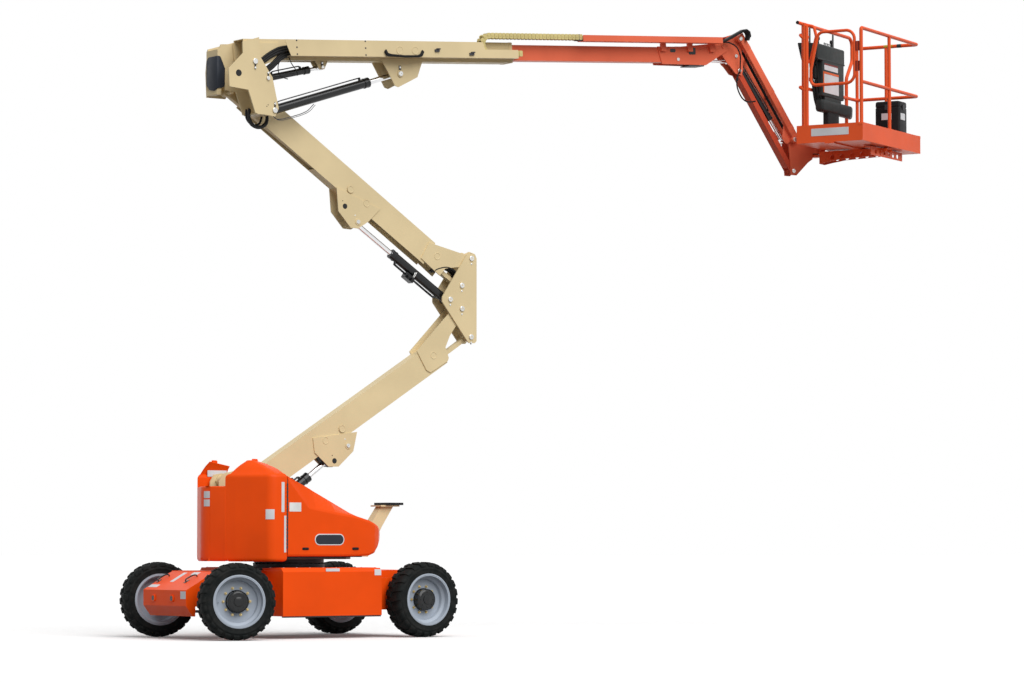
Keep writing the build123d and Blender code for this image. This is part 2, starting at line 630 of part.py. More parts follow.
# ---------------------------------------------------------------- boom
with BuildPart() as base_boom:
    add(tube(base, (-100, 115.5), (3020, 115.5), BOOM_Y, BASE_W, 199, 6))
    for low, high in ((22, 39), (196, 209)):
        add(slab(base, 2900, 3015, low, high, BOOM_Y, FLY_W))
    for side in (-1, 1):
        add(slab(base, 2900, 3015, 60, 175, BOOM_Y + side * (FLY_W + 2 + 14) / 2, 14))
        for outline in ([(-104, 180), (-104, 40), (-50, -45), (40, -55), (270, 20), (290, 180)],
                        [(1447, 44), (1592, -222), (1633, -235), (1860, -138), (1940, 44)]):
            add(plate(base, outline, BOOM_Y + side * 90, 10))
        add(plate(base, [(720, 18), (765, -62), (819, -62), (865, 18)], BOOM_Y + side * 41, 10))
        add(pin(lift_eye, side * 84, side * 104, 34))
        add(pin(master_eye, side * 35, side * 52, 20))
    add(slab(base, 440, 850, 9, 26, BOOM_Y, 66), mode=Mode.SUBTRACT)
    add(slab(base, 1540, 1790, 9, 26, BOOM_Y, 110), mode=Mode.SUBTRACT)
    bored(base_boom, (BOOM_PIN,), PIN_R)
export(base_boom, "base_boom")

TRAY = dict(out=-200, near=-85, bottom=46, top=212, lip=129)
with BuildPart() as boom_tray:
    middle, width = (TRAY["out"] + TRAY["near"]) / 2, TRAY["near"] - TRAY["out"]
    add(plate(base, [(292, 202), (355, 46), (3015, 46), (3015, TRAY["lip"]), (2612, TRAY["lip"]), (2590, 202)],
              TRAY["out"] + 2, 4))
    add(slab(base, 355, 3015, TRAY["bottom"], TRAY["bottom"] + 4, middle, width))
export(boom_tray, "boom_tray")

TRACK_Y = -147
with BuildPart() as power_track:
    for low, high, s0, s1 in ((66, 126, 2690, 3071), (240, 300, 2690, 3830)):
        add(slab(base, s0, s1, low, high, TRACK_Y, 76))
    with BuildSketch(Plane(origin=base.origin + Vector(0, TRACK_Y, 0), x_dir=base.x_dir, z_dir=(0, -1, 0))):
        with Locations((2690, 183)):
            Circle(117)
            Circle(57, mode=Mode.SUBTRACT)
        with Locations((2690 + 100, 183)):
            Rectangle(200, 300, mode=Mode.SUBTRACT)
    extrude(amount=38, both=True)
export(power_track, "power_track")

with BuildPart() as fly_boom:
    add(tube(base, (2450, 117.5), (5080, 117.5), BOOM_Y, FLY_W, 155, 5))
    end_outline = [(4869, 200), (4917, 22), (5493, 12), (5788, 165), (5800, 225), (5760, 275), (5640, 240),
                   (5150, 200)]
    for side in (-1, 1):
        add(plate(base, end_outline, BOOM_Y + side * 70, 10))
    add(pin(nose_pin, -86, 86, 22))
    add(pin(slave_foot, -74, 74, 16))
    add(slab(base, 5100, 5600, 196, 202, BOOM_Y, 150))
    for low, high in ((24, 40), (195, 207)):
        add(slab(base, 2652, 2760, low, high, BOOM_Y, 100))
export(fly_boom, "fly_boom")

with BuildPart() as fly_tray:
    for y in (-198, -102):
        add(slab(base, 3830, 5634, 229, 290, y, 4))
    add(slab(base, 3830, 5634, 229, 233, -150, 100))
    for s in (4900, 5250, 5540):
        add(slab(base, s, s + 60, 150, 230, -89, 28))
export(fly_tray, "fly_tray")

# ---------------------------------------------------------------- jib
with BuildPart() as level_bracket:
    bracket_outline = [(5195, 6065), (5190, 5995), (5320, 5850), (5345, 5835), (5420, 5760), (5500, 5745), (5520, 5800),
                       (5490, 6130), (5460, 6165), (5400, 6165)]
    for side in (-1, 1):
        add(plate(world, bracket_outline, side * 53, 10))
        add(pin(jib_low, side * 36, side * 64, 20))
        add(pin(jib_top, side * 46, side * 122, 20))
    add(pin(jib_foot, -62, 62, 16))
    add(slab(world, 5300, 5405, 6128, 6138, 0, 110))
    bored(level_bracket, (nose_pin,), 22)
export(level_bracket, "level_bracket")

with BuildPart() as jib_upper:
    for side in (-1, 1):
        add(tube(jib, (-38, 0), (JIB_LENGTH + 38, 0), side * 89, 50, 50, 4))
        add(plate(jib, [(1080, -20), (1150, -104), (1235, -104), (1250, -20)], side * 71, 10))
        for point in (jib_top, jib_top_end):
            add(pin(point, side * 64, side * 114, 34))
    for s in (250, 700):
        add(slab(jib, s, s + 40, 31, 39, 0, 228))
        for side in (-1, 1):
            add(slab(jib, s, s + 40, 20, 35, side * 89, 30))
    bored(jib_upper, (jib_top, jib_top_end), 20)
export(jib_upper, "jib_upper")

with BuildPart() as jib_lower:
    low = upright(jib_low, JIB_TILT)
    for side in (-1, 1):
        add(slab(low, -34, JIB_LENGTH + 34, -42, 30, side * 42, 8))
    add(slab(low, 60, JIB_LENGTH - 60, -42, -36, 0, 92))
    bored(jib_lower, (jib_low, jib_low_end), 20)
export(jib_lower, "jib_lower")

# ---------------------------------------------------------------- platform
deck = Plane(origin=PLATFORM_CORNER, x_dir=(cos(radians(PLATFORM_TURN)), sin(radians(PLATFORM_TURN)), 0),
             z_dir=(0, 0, 1))
axis_point = deck.from_local_coords((PLATFORM_L / 2, PLATFORM_W + ROTATOR_GAP, 0))
ROTATOR = dict(x=axis_point.X, y=axis_point.Y, low=4992, high=5196, r=60, post_r=36)
EAR_R = 56                    # the platform's ears above and below the rotator


def turning(low, high, radius):
    """A round piece on the platform's turning axis."""
    return bar((ROTATOR["x"], ROTATOR["y"], low), (ROTATOR["x"], ROTATOR["y"], high), radius)


with BuildPart() as platform_support:
    support_outline = [(6130, 5110), (6140, 5165), (6440, 5185), (6490, 5185), (6490, 5000), (6462, 4985),
                       (6462, 4930), (6400, 4890), (6240, 4745), (6170, 4745)]
    for side in (-1, 1):
        add(plate(world, support_outline, side * 53, 10))
        add(pin(jib_low_end, side * 36, side * 64, 20))
        add(pin(jib_top_end, side * 46, side * 122, 20))
    add(slab(world, 6300, 6310, 4850, 5040, 0, 110))
    add(turning(ROTATOR["low"], ROTATOR["high"], ROTATOR["r"] + 16))
    add(turning(ROTATOR["low"] - 60, ROTATOR["high"] + 60, ROTATOR["r"]), mode=Mode.SUBTRACT)
export(platform_support, "platform_support")

with BuildPart() as rotator:
    add(turning(ROTATOR["low"] - 3, ROTATOR["high"] + 3, ROTATOR["r"] - PLAY))
    add(turning(ROTATOR["low"] - 50, ROTATOR["high"] + 50, ROTATOR["post_r"]), mode=Mode.SUBTRACT)
export(rotator, "rotator")


def local_box(s0, s1, t0, t1, z0, z1):
    """A block in the platform's own directions."""
    with BuildPart() as made:
        with BuildSketch(deck.offset(z0)):
            with Locations(((s0 + s1) / 2, (t0 + t1) / 2)):
                Rectangle(s1 - s0, t1 - t0)
        extrude(amount=z1 - z0)
    return made.part


def on_deck(s, t, z):
    found = deck.from_local_coords((s, t, z))
    return (found.X, found.Y, found.Z)


deck_z = PLATFORM_CORNER[2]


axis_s, axis_t = PLATFORM_L / 2, PLATFORM_W + ROTATOR_GAP
BEAM_PITCH = 114              # between the holes along the beams
with BuildPart() as platform_beam:
    profile = [(30, -52), (30, -20), (803, -20), (803, -150), (700, -132), (560, -112), (160, -96)]
    beam_side = Plane(origin=on_deck(axis_s, 0, 0), x_dir=deck.y_dir, z_dir=deck.x_dir)
    for side in (-1, 1):
        with BuildSketch(beam_side.offset(side * 64)):
            with BuildLine():
                Polyline(*profile, close=True)
            make_face()
            for n in range(6):
                with Locations((84 + BEAM_PITCH * n, -62 if n == 0 else -66 - 4 * n)):
                    Circle(20 if n == 0 else 26, mode=Mode.SUBTRACT)
        extrude(amount=4, both=True)
    add(local_box(axis_s - 68, axis_s + 68, 30, 803, -28, -20))
    add(local_box(axis_s - 68, axis_s + 68, 795, 803, -150, 215))
    for low in (ROTATOR["low"] - 36, ROTATOR["high"] + 12):
        add(turning(low, low + 24, EAR_R))
        add(local_box(axis_s - 40, axis_s + 40, 800, axis_t, low - deck_z, low + 24 - deck_z))
    add(turning(ROTATOR["low"] - 36, ROTATOR["high"] + 36, ROTATOR["post_r"] - PLAY))
    add(local_box(430, 1252, 96, 102, -109, -20))
    for n in range(6):
        with Locations(on_deck(556 + BEAM_PITCH * n, 99, -68)):
            Cylinder(25, 30, rotation=(90, 0, PLATFORM_TURN), mode=Mode.SUBTRACT)
    add(local_box(430, 1252, 96, 180, -28, -20))
    add(local_box(0, PLATFORM_L, 330, 430, -20, -6))
export(platform_beam, "platform_beam")

with BuildPart() as platform_floor:
    add(local_box(0, PLATFORM_L, 0, PLATFORM_W, -6, 0))
    for s0, s1, t0, t1 in ((0, PLATFORM_L, 0, 4), (0, PLATFORM_L, PLATFORM_W - 4, PLATFORM_W),
                           (0, 4, 0, PLATFORM_W), (PLATFORM_L - 4, PLATFORM_L, 0, PLATFORM_W)):
        add(local_box(s0, s1, t0, t1, -6, KICK_H))
export(platform_floor, "platform_floor")


def pipe(points, radius, corner):
    """A bent round tube through (s, t, z) points of the platform, with one radius at its corners."""
    places = [on_deck(*point) for point in points]
    with BuildPart() as made:
        with BuildLine() as path:
            FilletPolyline(*places, radius=corner)
        first = Vector(*places[1]) - Vector(*places[0])
        with BuildSketch(Plane(origin=places[0], z_dir=first)):
            Circle(radius)
        sweep(path=path.line)
    return made.part


# rails: the closed side's top rail steps up over the controls; the gate fills the end by s = 0
rail_in = 4 + RAIL_R
far_s, far_t = PLATFORM_L - rail_in, PLATFORM_W - rail_in
POST_R = RAIL_R - 1
GATE_POST_T = 650
GATE_R = 16
REAR_TOP = 1258
TOP_RAIL = [(rail_in, rail_in, 4), (rail_in, rail_in, RAIL_TOP), (far_s, rail_in, RAIL_TOP),
            (far_s, far_t, RAIL_TOP), (1390, far_t, RAIL_TOP)]
MID_RAIL = [(rail_in, rail_in, RAIL_MID), (far_s, rail_in, RAIL_MID), (far_s, far_t, RAIL_MID),
            (rail_in, far_t, RAIL_MID - 17), (rail_in, GATE_POST_T, RAIL_MID - 57)]
REAR_LOOP = [(-18, far_t, REAR_TOP), (1372, far_t, REAR_TOP), (1372, far_t, 1012), (1221, far_t, 812),
             (1221, far_t, 4)]
POSTS = ((750, rail_in, RAIL_TOP), (far_s, 380, RAIL_TOP), (far_s, far_t - 3, RAIL_TOP), (120, far_t, REAR_TOP))
with BuildPart() as guard_rails:
    add(pipe(TOP_RAIL, RAIL_R, 24))
    add(pipe(REAR_LOOP, RAIL_R - 0.3, 90))
    add(pipe([(240, far_t, 1136), (rail_in, far_t, 1136), (rail_in, GATE_POST_T, 1080)], POST_R - 0.4, 45))
    add(pipe(MID_RAIL, POST_R, 30))
    for t in (GATE_POST_T - 14, GATE_POST_T + 12):
        add(bar(on_deck(rail_in, t, 4), on_deck(rail_in, t, REAR_TOP - 20 + t - GATE_POST_T), POST_R - 0.2))
    add(bar(on_deck(rail_in, GATE_POST_T, REAR_TOP - 30), on_deck(rail_in + 2, far_t - 1, REAR_TOP - 2), POST_R - 1))
    add(pipe([(rail_in + 38, GATE_POST_T, 1235), (rail_in + 38, 572, 1215), (rail_in + 38, 545, 1110),
              (rail_in + 38, GATE_POST_T - 30, 830)], GATE_R, 40))
    add(local_box(rail_in - 4, rail_in + 44, GATE_POST_T - 8, GATE_POST_T + 8, 1212, 1236))
    add(local_box(rail_in - 4, rail_in + 44, GATE_POST_T - 36, GATE_POST_T - 8, 836, 860))
    for s, t, top in POSTS:
        add(bar(on_deck(s, t, 4), on_deck(s, t, top), POST_R - 0.2))
export(guard_rails, "guard_rails")

# the gate turns about a hinge line just beside its post
GATE_HINGE_T = 64
GATE_EDGES = (98, 591)
with BuildPart() as gate:
    hinge_t, free_t = GATE_EDGES
    loop = [(rail_in, 330, 1145), (rail_in, 505, 1145), (rail_in, free_t, 760), (rail_in, free_t, 596),
            (rail_in, hinge_t, 596), (rail_in, hinge_t, 1145), (rail_in, 331, 1145)]
    add(pipe(loop, GATE_R, [70, 60, 60, 95, 95]))
    for z0, z1 in ((718, 816), (930, 1023)):
        add(local_box(rail_in - 4, rail_in + 4, GATE_HINGE_T, hinge_t, z0, z1))
        add(bar(on_deck(rail_in, GATE_HINGE_T, z0), on_deck(rail_in, GATE_HINGE_T, z1), 11))
    add(local_box(rail_in - 3, rail_in + 3, free_t, free_t + 22, 640, 680))
export(gate, "gate")

console_face = Plane(origin=on_deck(0, 0, 0), x_dir=deck.y_dir, z_dir=deck.x_dir)


def across(outline, s0, s1):
    """A solid with one (t, z) outline from s0 to s1."""
    with BuildPart() as made:
        with BuildSketch(console_face.offset(s0)):
            with BuildLine():
                Polyline(*outline, close=True)
            make_face()
        extrude(amount=s1 - s0)
    return made.part


HEAD_OUTLINE = [(592, 902), (592, 1050), (606, 1062), (818, 1078), (818, 1060), (783, 904)]
with BuildPart() as console:
    add(across(HEAD_OUTLINE, 190, 880))
    add(across([(590, 525), (590, 901), (690, 904), (690, 525)], 320, 860))
    add(across([(588, 365), (588, 483), (684, 483), (684, 365)], 319, 1180))
    add(across([(600, 0), (600, 366), (664, 366), (664, 0)], 480, 760))
    add(across([(596, 480), (596, 530), (676, 530), (676, 480)], 380, 800))
export(console, "console")

with BuildPart() as tool_box:
    add(local_box(1250, 1460, 125, 406, 4, 545))
export(tool_box, "tool_box")
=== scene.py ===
"""An articulating boom lift, dressed over its CAD frame.  Metres, X along the machine, Y across, Z up."""
import json
import math

import bmesh
import bpy
from mathutils import Matrix, Vector

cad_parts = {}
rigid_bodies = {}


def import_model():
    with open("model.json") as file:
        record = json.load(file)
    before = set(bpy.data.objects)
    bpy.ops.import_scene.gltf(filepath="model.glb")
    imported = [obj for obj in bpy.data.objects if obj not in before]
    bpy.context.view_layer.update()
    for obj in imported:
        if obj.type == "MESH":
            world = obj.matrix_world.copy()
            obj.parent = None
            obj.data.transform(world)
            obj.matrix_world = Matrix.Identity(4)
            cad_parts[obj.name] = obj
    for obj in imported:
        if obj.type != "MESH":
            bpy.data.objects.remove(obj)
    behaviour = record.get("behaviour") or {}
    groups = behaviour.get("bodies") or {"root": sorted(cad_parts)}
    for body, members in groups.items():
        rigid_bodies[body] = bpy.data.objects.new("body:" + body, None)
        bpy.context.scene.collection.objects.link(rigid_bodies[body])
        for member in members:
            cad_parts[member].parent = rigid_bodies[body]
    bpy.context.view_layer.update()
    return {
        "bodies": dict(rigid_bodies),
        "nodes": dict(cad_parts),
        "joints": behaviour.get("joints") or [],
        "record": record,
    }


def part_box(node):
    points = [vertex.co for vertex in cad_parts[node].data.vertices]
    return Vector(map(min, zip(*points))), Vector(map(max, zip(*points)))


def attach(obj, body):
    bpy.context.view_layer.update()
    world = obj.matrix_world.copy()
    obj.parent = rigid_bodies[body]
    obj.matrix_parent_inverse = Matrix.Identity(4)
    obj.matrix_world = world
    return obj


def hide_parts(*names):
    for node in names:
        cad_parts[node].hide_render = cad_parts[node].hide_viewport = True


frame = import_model()
joints = {joint["name"]: joint for joint in frame["joints"]}


# ---------------------------------------------------------------- frames of the moving parts
def at(joint):
    """A joint's place."""
    return Vector(joints[joint]["pos_m"])


def leaning(point, towards):
    """A frame at a point: x towards another point, y across the machine, z square to both."""
    along = towards - point
    return Matrix.Translation(point) @ Matrix.Rotation(-math.atan2(along.z, along.x), 4, "Y")


BOOM = leaning(at("boom_lift"), at("boom_lift") + Vector(joints["telescope"]["axis"]))
JIB = leaning(at("jib_lift"), at("support_pivot"))
PLATFORM_LENGTH, PLATFORM_WIDTH, ROTATOR_GAP, FLOOR_SKIN = 1.52, 0.745, 0.145, 0.006
rotator = at("platform_turn")
DECK = (Matrix.Translation((rotator.x, rotator.y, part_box("platform_floor")[0].z + FLOOR_SKIN))
        @ Matrix.Rotation(-math.radians(joints["platform_turn"]["range_deg"][0]), 4, "Z")
        @ Matrix.Translation((-PLATFORM_LENGTH / 2, -PLATFORM_WIDTH - ROTATOR_GAP, 0)))


# ---------------------------------------------------------------- nodes
def added(tree, kind, inputs=None, **settings):
    """A node with its settings; each input takes a value or another node's output."""
    node = tree.nodes.new(kind)
    for name, value in settings.items():
        setattr(node, name, value)
    for socket, value in (inputs or {}).items():
        if isinstance(value, bpy.types.NodeSocket):
            tree.links.new(value, node.inputs[socket])
        else:
            node.inputs[socket].default_value = value
    return node


def any_ray(tree, *kinds):
    """1 for a ray of any of the kinds, and 0 for the rest."""
    path = added(tree, "ShaderNodeLightPath")
    shown = path.outputs[kinds[0]]
    for kind in kinds[1:]:
        shown = added(tree, "ShaderNodeMath", {0: shown, 1: path.outputs[kind]},
                      operation="MAXIMUM").outputs[0]
    return shown


# ---------------------------------------------------------------- camera, light and floor
VIEW_TURN, VIEW_PITCH = math.radians(35.62), math.radians(3.164)
CAMERA_AT, LENS = (-18.063, -28.839, 0.919), 125.97
SUN_STRENGTH, SUN_SPREAD, SUN_TILT, SUN_TURN = 2.6, 55, 45, -3
SKY_STRENGTH = 0.45
FLOOR_REACH = 300
WHITE = (1, 1, 1, 1)


def make_camera():
    """The camera, level from side to side."""
    data = bpy.data.cameras.new("camera")
    data.lens = LENS
    data.clip_end = 200
    camera = linked("camera", data)
    turned = Matrix.Rotation(-VIEW_TURN, 4, "Z") @ Matrix.Rotation(math.pi / 2 + VIEW_PITCH, 4, "X")
    camera.matrix_world = Matrix.Translation(CAMERA_AT) @ turned
    bpy.context.scene.camera = camera


def make_light():
    """A soft sun from the right and above, and a plain white sky."""
    sun = bpy.data.lights.new("sun", "SUN")
    sun.energy = SUN_STRENGTH
    sun.angle = math.radians(SUN_SPREAD)
    linked("sun", sun).rotation_euler = (math.radians(SUN_TILT), 0, math.radians(SUN_TURN))
    world = bpy.data.worlds.new("sky")
    bpy.context.scene.world = world
    world.use_nodes = True
    tree = world.node_tree
    tree.nodes.clear()
    seen = added(tree, "ShaderNodeBackground", {"Color": WHITE})
    light = added(tree, "ShaderNodeBackground", {"Color": WHITE, "Strength": SKY_STRENGTH})
    shown = any_ray(tree, "Is Camera Ray", "Is Transmission Ray", "Is Glossy Ray")
    mix = added(tree, "ShaderNodeMixShader", {"Fac": shown, 1: light.outputs[0], 2: seen.outputs[0]})
    added(tree, "ShaderNodeOutputWorld", {"Surface": mix.outputs[0]})
    bpy.context.scene.view_settings.view_transform = "Standard"


def make_floor():
    """A wide pale floor that turns to plain white away from the shadows."""
    mesh = bpy.data.meshes.new("floor")
    corners = [(x * FLOOR_REACH, y * FLOOR_REACH, 0) for x, y in ((-1, -1), (1, -1), (1, 1), (-1, 1))]
    mesh.from_pydata(corners, [], [(0, 1, 2, 3)])
    floor = linked("floor", mesh)
    material, tree, _ = new_material("floor")
    tree.nodes.clear()
    seen = added(tree, "ShaderNodeBsdfDiffuse", {"Color": (0.97, 0.97, 0.97, 1)})
    glow = added(tree, "ShaderNodeEmission", {"Strength": 0.06})
    bright = added(tree, "ShaderNodeAddShader", {0: seen.outputs[0], 1: glow.outputs[0]})
    dim = added(tree, "ShaderNodeBsdfDiffuse", {"Color": (0.22, 0.22, 0.22, 1)})
    shown = any_ray(tree, "Is Camera Ray", "Is Glossy Ray")
    mix = added(tree, "ShaderNodeMixShader", {"Fac": shown, 1: dim.outputs[0], 2: bright.outputs[0]})
    added(tree, "ShaderNodeOutputMaterial", {"Surface": mix.outputs[0]})
    mesh.materials.append(material)


# ---------------------------------------------------------------- materials
def new_material(name):
    """A material with its node tree and its shader."""
    material = bpy.data.materials.new(name)
    material.use_nodes = True
    return material, material.node_tree, material.node_tree.nodes["Principled BSDF"]


def noise(tree, scale, detail=3.0, rough=0.5):
    """Noise on the object's own coordinates."""
    place = added(tree, "ShaderNodeTexCoord").outputs["Object"]
    given = {"Vector": place, "Scale": scale, "Detail": detail, "Roughness": rough}
    return added(tree, "ShaderNodeTexNoise", given).outputs["Fac"]


def ramp(tree, value, low, high, start, end):
    """A colour between start and end as the value goes from low to high."""
    node = added(tree, "ShaderNodeValToRGB", {"Fac": value})
    first, last = node.color_ramp.elements
    first.position, last.position = low, high
    first.color, last.color = (*start, 1), (*end, 1)
    return node.outputs["Color"]


def blend_colours(tree, first, second, share):
    """Two colours mixed by a share; the second may be a plain colour, the share a plain number."""
    second = (*second, 1) if isinstance(second, tuple) else second
    return added(tree, "ShaderNodeMix", {"Factor": share, 6: first, 7: second}, data_type="RGBA").outputs[2]


def ranged(tree, value, low, high):
    """The value from 0..1 to low..high."""
    return added(tree, "ShaderNodeMapRange",
                 {"To Min": low, "To Max": high, "Value": value}).outputs["Result"]


def darker(colour, share):
    """The colour at a share of its brightness."""
    return tuple(channel * share for channel in colour)


def surfaced(tree, shader, colour, rough, relief, strength, depth):
    """Gives the shader its colour, its roughness and a fine relief."""
    tree.links.new(colour, shader.inputs["Base Color"])
    tree.links.new(rough, shader.inputs["Roughness"])
    bump = added(tree, "ShaderNodeBump", {"Strength": strength, "Distance": depth, "Height": relief})
    tree.links.new(bump.outputs["Normal"], shader.inputs["Normal"])


def paint(name, colour, roughness=0.32, coat=0.0, dust=0.04, peel=0.05, shine=0.12):
    """Sprayed enamel: a fine orange peel, faint cloudiness, and dust that dulls it in patches."""
    material, tree, shader = new_material(name)
    cloud = ramp(tree, noise(tree, 2.3), 0.35, 0.7, darker(colour, 0.9), colour)
    speckle = ramp(tree, noise(tree, 55, 6, 0.7), 0.62, 0.78, (0, 0, 0), (1, 1, 1))
    dusty = blend_colours(tree, cloud, tuple(0.5 * c + 0.3 for c in colour), speckle)
    rough = ranged(tree, noise(tree, 9, 5, 0.65), roughness - 0.08, roughness + 0.12)
    surfaced(tree, shader, blend_colours(tree, cloud, dusty, dust), rough, noise(tree, 420, 2), peel, 0.0006)
    shader.inputs["Specular IOR Level"].default_value = shine
    shader.inputs["Coat Weight"].default_value = coat
    shader.inputs["Coat Roughness"].default_value = 0.12
    return material


def plastic(name, colour, roughness=0.5, grain=600, strength=0.25, shine=0.15):
    """Moulded plastic or rubber with a fine grain and a slight change of shade."""
    material, tree, shader = new_material(name)
    shade = ramp(tree, noise(tree, 4), 0.3, 0.75, darker(colour, 0.8), colour)
    rough = ranged(tree, noise(tree, 20, 4), roughness - 0.1, roughness + 0.12)
    surfaced(tree, shader, shade, rough, noise(tree, grain, 3), strength, 0.0005)
    shader.inputs["Specular IOR Level"].default_value = shine
    return material


def metal(name, colour, roughness=0.25, metallic=1.0, scale=90):
    """Bare or plated metal, with fine scuffs in its roughness."""
    material, tree, shader = new_material(name)
    shade = ramp(tree, noise(tree, 7, 4), 0.3, 0.8, darker(colour, 0.82), colour)
    rough = ranged(tree, noise(tree, scale, 6, 0.7), roughness * 0.6, roughness * 1.5)
    surfaced(tree, shader, shade, rough, noise(tree, scale * 4, 2), 0.05, 0.0004)
    shader.inputs["Metallic"].default_value = metallic
    return material


def tyre_rubber():
    """Black rubber, dusty grey in patches."""
    material, tree, shader = new_material("tyre_rubber")
    dusty = ramp(tree, noise(tree, 14, 6, 0.7), 0.42, 0.72, (0.008, 0.010, 0.010), (0.022, 0.022, 0.021))
    rough = ranged(tree, noise(tree, 30, 4), 0.6, 0.88)
    surfaced(tree, shader, dusty, rough, noise(tree, 260, 4), 0.35, 0.0012)
    shader.inputs["Specular IOR Level"].default_value = 0.1
    return material


ORANGE = paint("orange_paint", (0.93, 0.085, 0.004), 0.36)
SALMON = paint("boom_orange_paint", (0.86, 0.17, 0.085), 0.34)
# The boom's salmon made darker: painted shade for the jib's lower link, which lies in shadow.
SALMON_PAINTED_SHADE = paint("jib_link_painted_shade", (0.62, 0.085, 0.040), 0.4)
BASKET = paint("platform_orange_paint", (0.88, 0.115, 0.030), 0.34)
TAN = paint("tan_paint", (0.78, 0.63, 0.37), 0.42, coat=0.05)
RIM_GREY = paint("rim_paint", (0.42, 0.47, 0.54), 0.4, coat=0.05, dust=0.1)
BLACK = paint("black_paint", (0.009, 0.010, 0.011), 0.22, coat=0.25, dust=0.01, shine=0.25)
RUST_RED = paint("dark_red_paint", (0.20, 0.022, 0.016), 0.45, coat=0.1)
CHROME = metal("chromed_rod", (0.86, 0.86, 0.87), 0.09)
DARK_STEEL = metal("dark_steel", (0.05, 0.05, 0.055), 0.5, metallic=0.4)
ZINC = metal("zinc_plate", (0.72, 0.72, 0.70), 0.3)
BRASS = metal("brass_nut", (0.62, 0.50, 0.26), 0.35)
RUBBER = plastic("black_rubber", (0.012, 0.012, 0.012), 0.5)
BLACK_PLASTIC = plastic("black_plastic", (0.014, 0.014, 0.015), 0.45)
GREY_PLASTIC = plastic("grey_plastic", (0.035, 0.042, 0.042), 0.5)
SLATE = plastic("slate_plastic", (0.030, 0.036, 0.048), 0.42)
CREAM = plastic("track_plastic", (0.72, 0.60, 0.26), 0.45)
YELLOW = plastic("yellow_tape", (0.55, 0.38, 0.04), 0.5)
AMBER = plastic("amber_band", (0.80, 0.13, 0.02), 0.4, grain=900, strength=0.05)
LABEL = plastic("blank_label", (0.75, 0.76, 0.78), 0.35, grain=900, strength=0.05)
TYRE = tyre_rubber()

OF_SLOT = {"orange_paint": ORANGE, "tan_paint": TAN, "tyre_rubber": TYRE, "grey_paint": RIM_GREY,
           "dark_steel": DARK_STEEL, "black_paint": BLACK, "chromed_rod": CHROME,
           "black_plastic": BLACK_PLASTIC, "grey_plastic": GREY_PLASTIC, "track_plastic": CREAM}
OF_NODE = dict.fromkeys(("fly_boom", "fly_tray", "level_bracket", "jib_upper", "jib_lower",
                         "platform_support"), SALMON)
OF_NODE.update(dict.fromkeys(("platform_beam", "platform_floor", "guard_rails", "gate"), BASKET))


def dress_frame():
    """Every CAD node takes its own finish, or that of its slot."""
    for part in frame["record"]["subparts"]:
        mesh = frame["nodes"][part["node"]].data
        mesh.materials.clear()
        mesh.materials.append(OF_NODE.get(part["node"], OF_SLOT[part["material_slot"]]))


# ---------------------------------------------------------------- making pieces
def linked(name, data):
    """A new object of the scene."""
    piece = bpy.data.objects.new(name, data)
    bpy.context.scene.collection.objects.link(piece)
    return piece


def settled(piece, angle=32):
    """The piece with its modifiers made real, smooth except at edges sharper than the angle."""
    graph = bpy.context.evaluated_depsgraph_get()
    mesh = bpy.data.meshes.new_from_object(piece.evaluated_get(graph))
    piece.modifiers.clear()
    piece.data = mesh
    mesh.shade_smooth()
    mesh.set_sharp_from_angle(angle=math.radians(angle))
    return piece


def finished(piece, body, slot, material, *replaced):
    """The piece with its finish, riding on its body, in the place of the CAD nodes that it replaces."""
    piece.data.materials.clear()
    piece.data.materials.append(material)
    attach(piece, body)
    if replaced:
        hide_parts(*replaced)


def arc(centre, radius, start, end, steps):
    """Points round a centre, angles in degrees."""
    turns = [math.radians(start + (end - start) * i / steps) for i in range(steps + 1)]
    return [(centre[0] + radius * math.cos(a), centre[1] + radius * math.sin(a)) for a in turns]


def softened(corners, radii, steps=5):
    """A closed outline with an arc at each corner; a radius of 0 keeps one point."""
    radii = radii if isinstance(radii, list) else [radii] * len(corners)
    outline = []
    for i, here in enumerate(corners):
        before, after = Vector(corners[i - 1]), Vector(corners[(i + 1) % len(corners)])
        here, radius = Vector(here), radii[i]
        if not radius:
            outline.append(tuple(here))
            continue
        a, b = (before - here).normalized(), (after - here).normalized()
        half = a.angle(b) / 2
        reach = radius / math.tan(half)
        first, last = here + a * reach, here + b * reach
        middle = here + (a + b).normalized() * (radius / math.sin(half))
        for j in range(steps + 1):
            spot = first.lerp(last, j / steps) - middle
            outline.append(tuple(middle + spot.normalized() * radius))
    return outline


def oblong(x0, x1, z0, z1, radius=0.0, steps=5):
    """A rectangle's outline, its corners rounded by the radius."""
    return softened([(x0, z0), (x1, z0), (x1, z1), (x0, z1)], radius, steps)


def anticlockwise(outline):
    """The outline, turned round if it runs clockwise."""
    area = sum(a[0] * b[1] - b[0] * a[1] for a, b in zip(outline, outline[1:] + outline[:1]))
    return outline if area > 0 else outline[::-1]


def inset(outline, depth):
    """An anticlockwise outline moved inward."""
    moved = []
    for i, here in enumerate(outline):
        here = Vector(here)
        one = (here - Vector(outline[i - 1])).normalized()
        two = (Vector(outline[(i + 1) % len(outline)]) - here).normalized()
        side = Vector((-one.y - two.y, one.x + two.x))
        reach = depth / max(0.35, 1 + one.dot(two))
        moved.append(tuple(here + side * reach))
    return moved


def eased(points, steps=6):
    """A smooth run through points."""
    spots = [Vector(point) for point in points]
    spots = [spots[0] * 2 - spots[1]] + spots + [spots[-1] * 2 - spots[-2]]
    run = []
    for i in range(1, len(spots) - 2):
        a, b, c, d = spots[i - 1:i + 3]
        for j in range(steps):
            t = j / steps
            run.append(0.5 * (2 * b + (c - a) * t + (2 * a - 5 * b + 4 * c - d) * t * t
                              + (3 * b - a - 3 * c + d) * t ** 3))
    return run + [spots[-2]]


